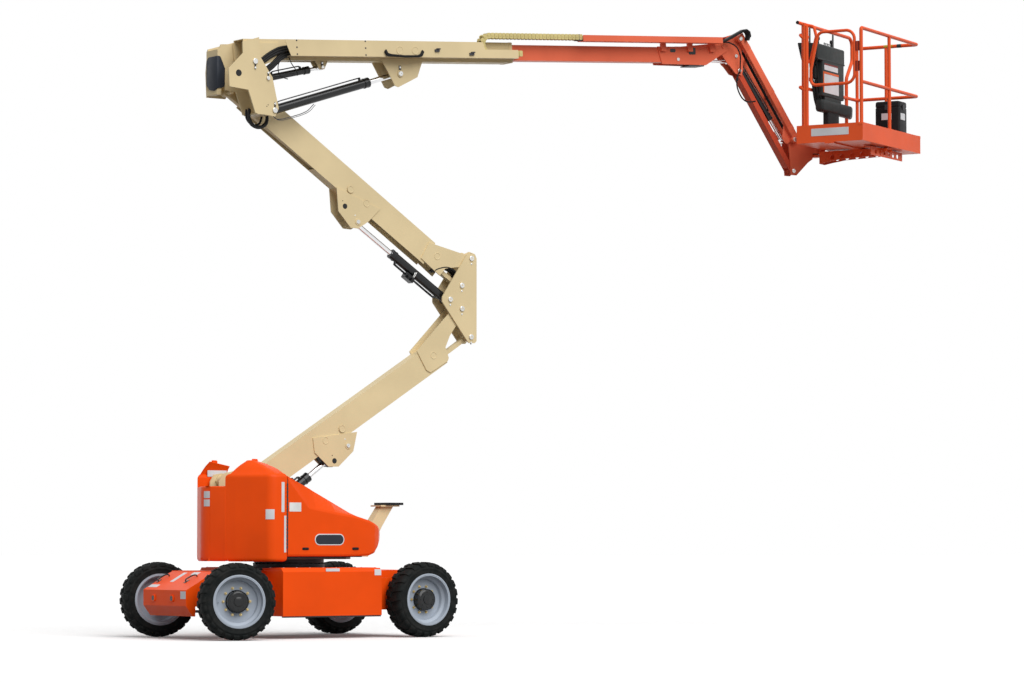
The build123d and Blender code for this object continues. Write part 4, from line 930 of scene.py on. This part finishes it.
def make_upright_hardware():
    """Pins with their keepers, black discs of painted shade for bores, and the hose loops and lines below the
    upright.
    """
    heads, keepers, bores = Kit(), Kit(), Kit()
    for joint, radius, drop in (("boom_lift", 0.026, -0.062), ("master_cylinder_swing", 0.019, 0.050),
                                ("lift_cylinder_swing", 0.026, 0.062)):
        spot = at(joint)
        heads.pin_head(spot.x, spot.z, UPRIGHT_FACE - 0.006, radius=radius, proud=0.009)
        z0, z1 = sorted((spot.z + drop * 0.25, spot.z + drop * 1.25))
        keepers.slab(spot.x - 0.007, spot.x + 0.007, z0, z1, UPRIGHT_FACE - 0.008, UPRIGHT_FACE, 0.008,
                     0.0012)
        heads.bolt(spot.x, spot.z + drop, UPRIGHT_FACE - 0.008, radius=0.008, high=0.007)
    heads.done("upright_pin_heads", "upright", "chromed_rod", ZINC)
    keepers.done("upright_keepers", "upright", "dark_steel", DARK_STEEL)
    # Black discs: painted shade for the upright's open bores.
    bores.bore(-0.646, 5.300, UPRIGHT_FACE, 0.032)
    bores.bore(-0.335, 5.005, UPRIGHT_FACE, 0.005, 10)
    bores.bore(-0.322, 5.020, UPRIGHT_FACE, 0.005, 10)
    bores.done("upright_bores", "upright", "dark_steel", BLACK)
    loops = Kit()
    loops.tube([(-0.470, -0.020, 4.985), (-0.478, -0.020, 4.900), (-0.448, -0.024, 4.832),
                (-0.372, -0.030, 4.806),
                (-0.292, -0.026, 4.838), (-0.268, -0.020, 4.900), (-0.280, -0.020, 4.985)], 0.0125, 12, 6)
    loops.tube([(-0.440, 0.020, 4.985), (-0.440, 0.020, 4.900), (-0.396, 0.016, 4.836),
                (-0.318, 0.014, 4.826),
                (-0.258, 0.018, 4.878), (-0.252, 0.020, 4.960)], 0.0125, 12, 6)
    loops.tube([(-0.455, 0.055, 4.985), (-0.452, 0.055, 4.898), (-0.392, 0.052, 4.842),
                (-0.310, 0.055, 4.860),
                (-0.276, 0.055, 4.960)], 0.010, 12, 6)
    loops.done("upright_hose_loops", "upright", "black_plastic", RUBBER)
    lines = Kit()
    for radius, (x, y, z) in ((0.004, (-0.235, -0.050, 4.935)), (0.003, (-0.225, -0.060, 4.925))):
        lines.tube([(x, y, z), (x + 0.065, y - 0.004, z - 0.035), (x + 0.20, y - 0.010, z - 0.005),
                    (x + 0.38, y, z + 0.060), (x + 0.47, y, z + 0.140)], radius, 8, 5)
    lines.turned([(0.014, 0), (0.014, 0.02), (0.010, 0.026), (0.010, 0.05)], (-0.235, -0.066, 4.938), sides=6)
    lines.done("lift_cylinder_lines", "upright", "dark_steel", DARK_STEEL)


def make_boom_hardware():
    """Pins, wear strip and clips on the base boom, with its tray's screws, its hoses and its end collar."""
    heads, keepers, welds = Kit(BOOM), Kit(BOOM), Kit(BOOM)
    for s, h, face, drop, radius, proud in ((1.658, -0.104, BOOM_FACE, 0.060, 0.026, 0.012),
                                            (0.792, -0.043, -0.050, 0.040, 0.016, 0.010)):
        heads.pin_head(s, h, face - 0.009, radius=radius, proud=proud)
        keepers.slab(s - 0.011, s + 0.011, h + drop * 0.3, h + drop * 1.3, face - 0.008, face, 0.007, 0.001)
        heads.bolt(s, h + drop, face - 0.008, radius=0.007, high=0.006)
    for s in (1.600, 1.780):
        welds.turned([(0.040, 0), (0.040, -0.0022), (0.036, -0.0034), (0.031, -0.0022), (0.0295, -0.0008),
                      (0, -0.0008)], (s, TRAY_FACE, 0.112), sides=28)
    heads.done("boom_pin_heads", "base_boom", "chromed_rod", ZINC)
    keepers.done("boom_keepers", "base_boom", "dark_steel", DARK_STEEL)
    welds.done("tray_plug_welds", "base_boom", "tan_paint", TAN)
    strip = Kit(BOOM)
    path = [(1.412, 0.096), (1.432, 0.060), (1.470, 0.050), (1.656, 0.040), (1.812, 0.042), (1.848, 0.056),
            (1.872, 0.094)]
    strip.plate(path + [(s + (0.018 if s < 1.6 else -0.018), h + 0.022) for s, h in path[::-1]], -0.224,
                TRAY_FACE)
    strip.done("boom_wear_strip", "base_boom", "black_plastic", RUBBER, bevel=0.004)
    clips = Kit(BOOM)
    for s, h in ((2.037, 0.112), (2.448, 0.082)):
        clips.slab(s - 0.030, s + 0.024, h - 0.012, h + 0.012, TRAY_FACE, -0.212, 0.003, 0.001)
        clips.slab(s - 0.010, s + 0.030, h + 0.010, h + 0.022, TRAY_FACE, -0.222, 0.003, 0.001)
    clips.done("tray_clips", "base_boom", "dark_steel", DARK_STEEL)
    for s in (0.424, 1.204):
        screw = Kit()
        screw.turned([(0.008, 0.0), (0.008, -0.002), (0.006, -0.0042), (0, -0.0045)], (0, -0.2, 0), sides=12)
        screw.repeated(f"tray_screws_{round(s * 1000)}", "base_boom", "dark_steel", DARK_STEEL,
                       BOOM @ Matrix.Translation((s, 0, 0.062)), count=3, step=(0, 0, 0.066))
    hoses = Kit()
    for x, z, rise in ((-0.372, 5.462, 0.128), (-0.325, 5.380, 0.172)):
        for i in range(3):
            y, low = -0.097 - 0.004 * i, z - 0.022 * i
            hoses.tube([(x - 0.03, y, low - 0.025), (x + 0.06, y - 0.004, low + 0.045),
                        (x + 0.16, y - 0.010, low + rise * 0.80), (x + 0.25, y - 0.012, low + rise),
                        (x + 0.33, y - 0.012, z + rise + 0.012 - 0.0154 * i)], 0.013, 12, 6)
    hoses.done("boom_foot_hoses", "base_boom", "black_plastic", RUBBER)
    wires = Kit()
    wires.tube([(-0.060, -0.110, 5.512), (-0.150, -0.110, 5.475), (-0.200, -0.108, 5.420),
                (-0.196, -0.100, 5.350),
                (-0.150, -0.080, 5.305), (-0.060, -0.050, 5.292)], 0.0045, 8, 6)
    wires.tube([(-0.090, -0.112, 5.500), (-0.062, -0.112, 5.440), (-0.010, -0.100, 5.390),
                (0.030, -0.080, 5.352),
                (0.046, -0.050, 5.334)], 0.0045, 8, 6)
    wires.done("master_cylinder_wires", "base_boom", "black_plastic", RUBBER)
    collar = Kit(BOOM)
    collar.plate(oblong(-0.088, 0.088, 0.013, 0.218, 0.012, 3), 2.985, 3.022, along="X")
    collar.done("boom_end_collar", "base_boom", "tan_paint", TAN)


def make_power_track():
    """A cable carrier: cream links on a line that turns back on itself, with the hoses inside."""
    radius, middle, pitch = 0.087, 0.183, 0.0445
    start, bend, end = 3.060, 2.690, 3.815
    line = [(start, middle - radius)] + arc((bend, middle), radius, -90, -270, 16) + [(end, middle + radius)]
    where = BOOM @ Matrix.Translation((0, -0.147, 0))
    mesh = bpy.data.meshes.new("power_track_links")
    mesh.from_pydata([(s, 0, h) for s, h in line], [(i, i + 1) for i in range(len(line) - 1)], [])
    track = linked("power_track_links", mesh)
    link = Kit()
    for side in (-1, 1):
        link.plate(oblong(-0.021, 0.021, -0.029, 0.029, 0.009, 3), side * 0.037, side * 0.030, 0.002)
        link.plate(oblong(0.006, 0.034, -0.017, 0.017, 0.012, 3), side * 0.030, side * 0.025)
        link.turned([(0.009, 0), (0.009, side * 0.002), (0, side * 0.002)], (0.0, side * 0.037, 0.0),
                    sides=10)
    for h in (-0.026, 0.022):
        link.slab(-0.010, 0.010, h, h + 0.004, -0.031, 0.031)
    seed = link.piece("power_track_link_seed")
    length = (start - bend) + math.pi * radius + (end - bend)
    grow(track, CHAIN, where, link=seed, count=round(length / pitch), finish=CREAM)
    bpy.data.objects.remove(seed)
    finished(track, "power_track", "track_plastic", CREAM, "power_track")
    hoses = Kit(where)
    for y in (-0.018, 0.0, 0.018):
        hoses.tube([(s, y, h) for s, h in line], 0.008, 10)
    hoses.done("power_track_hoses", "power_track", "black_plastic", RUBBER)
    clamp = Kit(where)
    clamp.plate(oblong(-0.036, 0.036, 0.235, 0.299), 3.775, 3.828, along="X")
    clamp.done("power_track_end", "power_track", "dark_steel", DARK_STEEL, bevel=0.003)


def make_fly_hardware():
    """Two black plates of painted shade for openings, the end's pad, a pin and the hoses in the fly boom's
    tray.
    """
    # Black plates on the fly boom's side: painted shade standing for two openings.
    dark = Kit(BOOM)
    dark.plate(oblong(5.275, 5.362, 0.122, 0.190, 0.010, 4), -0.0785, -0.070)
    dark.plate(oblong(5.030, 5.100, 0.142, 0.176, 0.015, 4), -0.0785, -0.070)
    dark.done("fly_windows", "fly_boom", "dark_steel", BLACK)
    pad = Kit(BOOM)
    pad.slab(5.270, 5.470, 0.000, 0.0115, -0.074, 0.074)
    pad.done("fly_end_pad", "fly_boom", "dark_steel", DARK_STEEL, bevel=0.002)
    heads = Kit(BOOM)
    slave = BOOM.inverted() @ at("slave_cylinder_swing")
    heads.pin_head(slave.x, slave.z, -0.075, radius=0.018, proud=0.008)
    heads.done("fly_pin_heads", "fly_boom", "chromed_rod", ZINC)
    hoses = Kit(BOOM)
    for y in (-0.175, -0.160, -0.145, -0.130):
        hoses.tube([(3.84, y, 0.246), (4.4, y, 0.245), (5.0, y + 0.003, 0.246), (5.40, y, 0.246),
                    (5.620, y, 0.250)],
                   0.0105, 10, 4)
    hoses.done("fly_tray_hoses", "fly_boom", "black_plastic", RUBBER)


def make_jib_hoses():
    """Hoses over the bracket's end under a cover, a loose loop, and the run along the jib."""
    carrier = Kit()
    path = [(5.150, 6.058), (5.250, 6.098), (5.350, 6.150), (5.440, 6.196), (5.478, 6.204), (5.508, 6.184),
            (5.516, 6.150)]
    for i, y in enumerate((-0.172, -0.158, -0.144, -0.130)):
        carrier.tube([(x - 0.004 * i, y, z - 0.005 * (i % 2)) for x, z in path] + [(5.500, y, 6.105)], 0.0115,
                     10, 5)
    carrier.done("jib_hoses", "level_bracket", "black_plastic", RUBBER)
    cover = Kit()
    strip = [(5.148, 6.062), (5.300, 6.142), (5.430, 6.210), (5.478, 6.218), (5.520, 6.196), (5.532, 6.150)]
    cover.plate(strip + [(x - 0.004, z - 0.016) for x, z in strip[::-1]], -0.182, -0.122)
    cover.done("jib_hose_cover", "level_bracket", "black_plastic", BLACK_PLASTIC, bevel=0.004)
    feed = Kit()
    feed.tube([(5.150, -0.130, 6.050), (5.260, -0.130, 6.066), (5.372, -0.128, 6.030), (5.430, -0.120, 5.948),
               (5.448, -0.100, 5.850), (5.462, -0.075, 5.760)], 0.0075, 10, 6)
    feed.done("jib_feed_hose", "level_bracket", "black_plastic", RUBBER)
    loop = Kit()
    loop.tube([(5.425, -0.100, 5.760), (5.402, -0.104, 5.700), (5.398, -0.106, 5.630), (5.424, -0.106, 5.560),
               (5.470, -0.106, 5.500), (5.530, -0.106, 5.470), (5.600, -0.100, 5.474),
               (5.662, -0.084, 5.486)],
              0.0075, 10, 6)
    loop.turned([(0.012, -0.012), (0.012, 0.016)], (5.402, -0.104, 5.690), along="Z", sides=10)
    loop.done("jib_hose_loop", "jib_lower", "black_plastic", RUBBER)
    run = Kit(JIB)
    for y, h in ((-0.030, 0.022), (-0.012, 0.024), (0.006, 0.022)):
        run.tube([(0.060, y, h), (0.40, y + 0.003, h), (0.80, y, h - 0.003), (1.14, y, h)], 0.008, 8, 4)
    run.done("jib_run_hoses", "jib_upper", "black_plastic", RUBBER)


def make_jib_hardware():
    """The jib's tubes, its lower link in a darker salmon of painted shade, their pins and the sleeves round
    the tubes.
    """
    make_jib_hoses()
    low, top, end = at("jib_lower_pivot"), at("jib_lift"), at("support_pivot")
    reach, tube_y = (end - top).length, 0.089
    tubes = Kit(JIB)
    for side in (-1, 1):
        y = side * tube_y
        tubes.plate(oblong(y - 0.026, y + 0.026, -0.012, 0.066, 0.007, 3), 0.020, reach - 0.012, along="X")
        for s in (0.0, reach):
            tubes.turned([(0.034, side * 0.064), (0.034, side * 0.114)], (s, 0, 0), sides=32)
            tubes.slab(s - 0.034, s + 0.034, -0.002, 0.062, side * 0.064, side * 0.113)
        lug = [(1.050, -0.005), (1.150, -0.104), (1.235, -0.104), (1.250, -0.005)]
        tubes.plate(softened(lug, [0, 0.030, 0.030, 0], 4), side * 0.077, side * 0.065)
    for s in (0.250, 0.700):
        tubes.slab(s, s + 0.040, 0.060, 0.068, -0.066, 0.066)
    tubes.done("jib_tubes", "jib_upper", "orange_paint", SALMON, "jib_upper", bevel=0.002)
    link = Kit(leaning(low, low + end - top))
    for side in (-1, 1):
        link.plate(oblong(-0.034, reach + 0.034, -0.036, 0.024, 0.020, 4), side * 0.046, side * 0.038, 0.001)
    link.slab(0.060, reach - 0.060, -0.036, -0.030, -0.040, 0.040)
    # The lower link takes the darker salmon: painted shade for the shadow it lies in.
    link.done("jib_lower_link", "jib_lower", "orange_paint", SALMON_PAINTED_SHADE, "jib_lower")
    heads = Kit()
    for spot, y, radius, proud in ((at("jib_cylinder_swing"), -0.060, 0.019, 0.009),
                                   (low, -0.062, 0.022, 0.008),
                                   (top, -0.120, 0.022, 0.009)):
        heads.pin_head(spot.x, spot.z, y, radius=radius, proud=proud)
    heads.done("bracket_pin_heads", "level_bracket", "chromed_rod", ZINC)
    heads = Kit()
    for spot, y in ((end, -0.120), (end + low - top, -0.062)):
        heads.pin_head(spot.x, spot.z, y, radius=0.022, proud=0.009)
    heads.done("support_pin_heads", "platform_support", "chromed_rod", ZINC)
    sleeves = Kit(JIB)
    for s in (0.100, 0.640, 1.090):
        for y in (-tube_y, tube_y):
            sleeves.plate(oblong(y - 0.028, y + 0.028, -0.014, 0.068, 0.008, 2), s, s + 0.05, along="X")
    sleeves.done("jib_sleeves", "jib_upper", "orange_paint", SALMON)


# barrel's length and radius, and where a valve block sits on it
CYLINDERS = {"tower_cylinder_low": (0.775, 0.044, 0.50), "tower_cylinder_high": (0.775, 0.044, 0.42),
             "lift_cylinder": (1.188, 0.044, None), "master_cylinder": (0.540, 0.032, None),
             "slave_cylinder": (0.420, 0.032, None), "jib_cylinder": (0.797, 0.032, None)}


def make_cylinder_details():
    """Gland rings, ports and hard lines on each cylinder, and the riser cylinders' valve blocks."""
    for name, (reach, radius, valve) in CYLINDERS.items():
        foot = at(f"{name}_swing")
        where = leaning(foot, foot + Vector(joints[f"{name}_stroke"]["axis"]))
        fittings = Kit(where)
        for s0, s1, proud in ((reach - 0.058, reach - 0.046, 0.0065), (reach - 0.020, reach + 0.003, 0.0060),
                              (0.075, 0.090, 0.003)):
            fittings.turned([(radius - 0.002, s0), (radius + proud, s0 + 0.002), (radius + proud, s1 - 0.002),
                             (radius - 0.002, s1)], along="X", sides=36, hollow=True)
        port = radius + 0.012
        for s in (0.12, reach - 0.09):
            fittings.turned([(0.013, 0), (0.013, port), (0.010, port + 0.004)], (s, 0, 0), along="Z",
                            sides=14)
        low, high = port + 0.003, port + 0.009
        for y in ((-0.012, 0.012) if valve else (0.0,)):
            fittings.tube([(0.12, y, low), (0.16, y, high), (reach * 0.5, y, high), (reach - 0.12, y, high),
                           (reach - 0.09, y, low)], 0.006, 8, 4)
        fittings.done(f"{name}_fittings", f"{name}_barrel", "black_paint", BLACK)
        if valve:
            block = Kit(where)
            block.slab(valve, valve + 0.115, radius + 0.004, radius + 0.062, -0.034, 0.034, 0.006, 0.002)
            for along, out in ((0.035, 0.030), (0.085, 0.022)):
                block.turned([(0.015, 0), (0.015, -out), (0.011, -out - 0.006), (0, -out - 0.006)],
                             (valve + along, -0.034, radius + 0.034), sides=12)
            block.done(f"{name}_valve", f"{name}_barrel", "black_paint", BLACK)
            lines = Kit(where)
            for y in (-0.048, -0.024):
                lines.tube([(valve + 0.03, y, radius + 0.020), (valve + 0.035, y - 0.016, radius - 0.012),
                            (valve + 0.040, y - 0.018, 0.006)], 0.0045, 8, 4)
            lines.done(f"{name}_lines", f"{name}_barrel", "chromed_rod", ZINC)


# ---------------------------------------------------------------- platform: s along the deck, t across it
RAIL_LOW, RAIL_TOP, END_RAIL = 1.162, 1.258, PLATFORM_LENGTH - 0.023


def make_platform():
    """The floor's grating, and the gate's hinges, cuffs, tapes and plug on the rails."""
    label = Kit(DECK)
    label.plate(oblong(0.158, 0.580, 0.062, 0.140, 0.006), -0.0022, 0.001, 0.0006, along="X")
    label.done("kick_label", "platform", "orange_paint", LABEL)
    bar = Kit()
    bar.form([[(s, t, z) for s,
               z in ((-0.0025, 0.0002), (0.0025, 0.0002), (0.0018, 0.0075), (-0.0018, 0.0075))]
              for t in (0.008, PLATFORM_WIDTH - 0.008)])
    bar.repeated("floor_grating_bars", "platform", "orange_paint", BASKET,
                 DECK @ Matrix.Translation((0.022, 0, 0)),
                 count=50, step=(0.030, 0, 0))
    rod = Kit()
    rod.plate(oblong(-0.0025, 0.0025, 0.0002, 0.0056), 0.006, PLATFORM_LENGTH - 0.006, along="X")
    rod.repeated("floor_grating_rods", "platform", "orange_paint", BASKET,
                 DECK @ Matrix.Translation((0, 0.030, 0)),
                 count=12, step=(0, 0.062, 0))
    straps = Kit(DECK)
    for z0, z1 in ((0.716, 0.820), (0.928, 1.026)):
        straps.plate(oblong(0.042, 0.098, z0, z1, 0.004), 0.0125, 0.0325, 0.001, along="X")
    straps.done("gate_straps", "platform", "dark_steel", RUST_RED)
    for name, slot, material, t0, t1 in (("rail_tape", "orange_paint", YELLOW, 0.30, 0.40),
                                         ("rail_sleeve", "grey_plastic", GREY_PLASTIC, 0.200, 0.250)):
        tape = Kit(DECK)
        tape.tube([(END_RAIL, t0, RAIL_LOW), (END_RAIL, t1, RAIL_LOW)], 0.0197, 20)
        tape.done(name, "platform", slot, material)
    cuffs = Kit(DECK)
    for s, t in ((0.023, 0.023), (0.75, 0.023), (END_RAIL, 0.023), (END_RAIL, 0.38), (1.221, 0.722)):
        cuffs.slab(s - 0.026, s + 0.026, 0.150, 0.182, t - 0.024, t + 0.024, 0.006, 0.001)
    cuffs.done("post_cuffs", "platform", "orange_paint", BASKET)
    plug = Kit(DECK)
    plug.turned([(0.0165, -0.022), (0.0185, -0.020), (0.0185, -0.006)], (0.0, 0.722, RAIL_TOP), along="X",
                sides=20)
    plug.done("rail_plug", "platform", "black_plastic", BLACK_PLASTIC)


def make_console_shell():
    """The console's hooded head, its panel, the tray below and the column that carries them."""
    head = Kit(DECK)
    hood = softened([(0.5905, 0.900), (0.783, 0.902), (0.8195, 1.060), (0.8195, 1.0795), (0.600, 1.064),
                     (0.5905, 1.050)], [0.010, 0.014, 0.004, 0.006, 0.012, 0.006], 4)
    head.stack(hood, ((0.188, 0.010), (0.192, 0.003), (0.200, 0.0), (0.872, 0.0), (0.879, 0.003),
                      (0.8825, 0.010)), "X")
    head.plate(oblong(0.586, 0.78, 0.893, 0.912, 0.006, 3), 0.196, 0.874, along="X")
    head.done("console_head", "platform", "grey_plastic", GREY_PLASTIC, "console")
    body = Kit(DECK)
    panel = softened([(0.589, 0.520), (0.692, 0.520), (0.692, 0.900), (0.589, 0.900)], [0.014, 0.014, 0, 0],
                     4)
    body.stack(panel,
               ((0.318, 0.010), (0.324, 0.002), (0.335, 0), (0.845, 0), (0.856, 0.002), (0.862, 0.010)), "X")
    body.plate(oblong(0.596, 0.676, 0.470, 0.535, 0.008, 3), 0.380, 0.800, along="X")
    body.done("console_panel", "platform", "grey_plastic", GREY_PLASTIC)
    tray = Kit(DECK)
    plan = softened([(0.319, 0.588), (1.05, 0.588), (1.180, 0.632), (1.180, 0.680), (0.319, 0.684)],
                    [0.030, 0.120, 0.018, 0.010, 0.020], 5)
    tray.stack(plan, ((0.362, 0.022), (0.372, 0.010), (0.390, 0.003), (0.450, 0.0), (0.476, 0.0),
                      (0.484, 0.004),
                      (0.4845, 0.012), (0.470, 0.016), (0.440, 0.020)))
    tray.done("console_tray", "platform", "grey_plastic", GREY_PLASTIC)
    column = Kit(DECK)
    column.stack(oblong(0.480, 0.760, 0.600, 0.664, 0.012, 4), ((0.0, -0.002), (0.02, 0), (0.366, 0)))
    column.done("console_column", "platform", "black_plastic", BLACK_PLASTIC)
    sheets = Kit(DECK)
    sheets.slab(0.352, 0.720, 0.560, 0.758, 0.5865, 0.590, 0.006, 0.0006)
    sheets.slab(0.356, 0.700, 0.800, 0.852, 0.5865, 0.590, 0.006, 0.0006)
    sheets.done("console_labels", "platform", "grey_paint", LABEL)
    bands = Kit(DECK)
    bands.slab(0.352, 0.720, 0.760, 0.782, 0.5866, 0.590)
    bands.slab(0.330, 0.350, 0.560, 0.782, 0.5866, 0.590)
    bands.done("console_label_band", "platform", "orange_paint", AMBER)
    bands = Kit(DECK)
    bands.slab(0.356, 0.700, 0.854, 0.870, 0.5866, 0.590)
    bands.done("console_label_head", "platform", "orange_paint", RUST_RED)


JOYSTICK = ((0.026, -0.002), (0.022, 0.010), (0.010, 0.022), (0.008, 0.052), (0.016, 0.058), (0.018, 0.078),
            (0.012, 0.092), (0, 0.094))
SWITCH = ((0.011, -0.002), (0.011, 0.006), (0.005, 0.009), (0.0045, 0.026), (0.007, 0.030), (0.006, 0.038),
          (0, 0.039))
KNOB = ((0.022, -0.002), (0.022, 0.010), (0.019, 0.020), (0, 0.022))


def make_console():
    """The control console: its shell, levers and switches on the sloping top, hangers and cables."""
    make_console_shell()
    slope = (1.0795 - 1.064) / (0.8195 - 0.600)
    controls = Kit(DECK)
    for profile, t, places, sides in ((JOYSTICK, 0.69, (0.430, 0.760), 20),
                                      (SWITCH, 0.655, (0.505, 0.545, 0.585, 0.625, 0.665, 0.705), 12),
                                      (KNOB, 0.74, (0.260,), 24)):
        top = 1.064 + (t - 0.600) * slope
        for s in places:
            controls.turned([(radius, top + up) for radius, up in profile], (s, t, 0), along="Z", sides=sides)
    controls.done("console_controls", "platform", "black_plastic", BLACK_PLASTIC)
    hangers = Kit(DECK)
    hangers.plate(softened([(0.790, 1.040), (0.850, 1.040), (0.850, 1.235), (0.822, 1.235), (0.812, 1.110),
                            (0.790, 1.100)], [0.004, 0.004, 0.010, 0.010, 0, 0.01], 3), 0.700, 0.708, 0.001)
    hangers.plate(oblong(0.230, 0.262, 1.060, 1.235, 0.008, 3), 0.700, 0.708, 0.001)
    hangers.done("console_hangers", "platform", "black_paint", BLACK)
    cables = Kit(DECK)
    for i, (s, t) in enumerate(((0.300, 0.640), (0.285, 0.665), (0.262, 0.690), (0.300, 0.700))):
        cables.tube([(s - 0.03, t, 0.935), (s - 0.035, t, 0.880), (s - 0.008 * i, t, 0.760),
                     (s + 0.012, t - 0.01, 0.620), (s + 0.05, t - 0.01, 0.500), (s + 0.09, t - 0.015, 0.420)],
                    0.013, 10, 5)
    cables.slab(0.235, 0.300, 0.700, 0.830, 0.640, 0.700, 0.012, 0.004)
    cables.done("console_cables", "platform", "black_plastic", RUBBER)


def make_tool_box():
    """A moulded box with a lid, two bare labels and two catches."""
    box = Kit(DECK)
    box.stack(oblong(1.250, 1.460, 0.125, 0.406, 0.022, 4),
              ((0.004, 0.004), (0.010, 0.0), (0.470, 0.0), (0.476, 0.005), (0.484, 0.005), (0.490, 0.0),
               (0.530, 0.002),
               (0.541, 0.010), (0.545, 0.024)))
    box.done("tool_box_shell", "platform", "black_plastic", BLACK_PLASTIC, "tool_box")
    label = Kit(DECK)
    label.slab(1.285, 1.400, 0.345, 0.415, 0.1232, 0.126, 0.005, 0.0005)
    label.plate(oblong(0.215, 0.330, 0.345, 0.415), 1.2482, 1.2507, along="X")
    label.done("tool_box_label", "platform", "grey_paint", LABEL)
    catch = Kit(DECK)
    catch.slab(1.330, 1.378, 0.452, 0.508, 0.116, 0.126, 0.004, 0.001)
    catch.plate(oblong(0.245, 0.290, 0.452, 0.508), 1.241, 1.251, along="X")
    catch.done("tool_box_catch", "platform", "dark_steel", DARK_STEEL)


def make_end_cover():
    """A dark moulded cover round the rear corner of the upright, and the lip below it."""
    rear, front, near, far = -0.760, -0.666, 0.098, 0.290
    cover = Kit()
    face = softened([(near, 5.168), (0.150, 5.148), (0.237, 5.162), (far, 5.215), (far, 5.445),
                     (0.255, 5.478),
                     (near, 5.478)], [0, 0.02, 0.03, 0.03, 0.03, 0.03, 0], 4)
    cover.stack(face, ((-0.7465, 0.0), (-0.755, 0.001), (rear, 0.006)), "X")
    cover.done("end_cover_face", "upright", "grey_plastic", SLATE, "end_cover", angle=50)
    wing = Kit()
    side = softened([(rear + 0.004, 5.168), (front, 5.186), (front, 5.362), (-0.716, 5.478),
                     (rear + 0.004, 5.478)],
                    [0.01, 0.03, 0.02, 0.02, 0.01], 4)
    wing.plate(side, 0.0975, 0.104, 0.003)
    wing.done("end_cover_side", "upright", "grey_plastic", SLATE, angle=50)
    lip = Kit()
    lip.slab(-0.7465, -0.700, 5.112, 5.168, 0.107, 0.300, 0.004)
    lip.plate([(-0.740, 5.105), (-0.560, 5.148), (-0.500, 5.150), (-0.372, 5.050), (-0.310, 4.950),
               (-0.262, 4.940),
               (-0.240, 5.000), (-0.400, 5.200), (-0.560, 5.200)], 0.296, 0.308)
    lip.done("upright_rear_lip", "upright", "tan_paint", TAN, bevel=0.002)


make_camera()
make_light()
make_floor()
dress_frame()
make_wheels()
make_hoods()
make_turntable()
make_chassis()
make_riser_hardware()
make_upright_hardware()
make_boom_hardware()
make_power_track()
make_fly_hardware()
make_jib_hardware()
make_cylinder_details()
make_platform()
make_console()
make_tool_box()
make_end_cover()
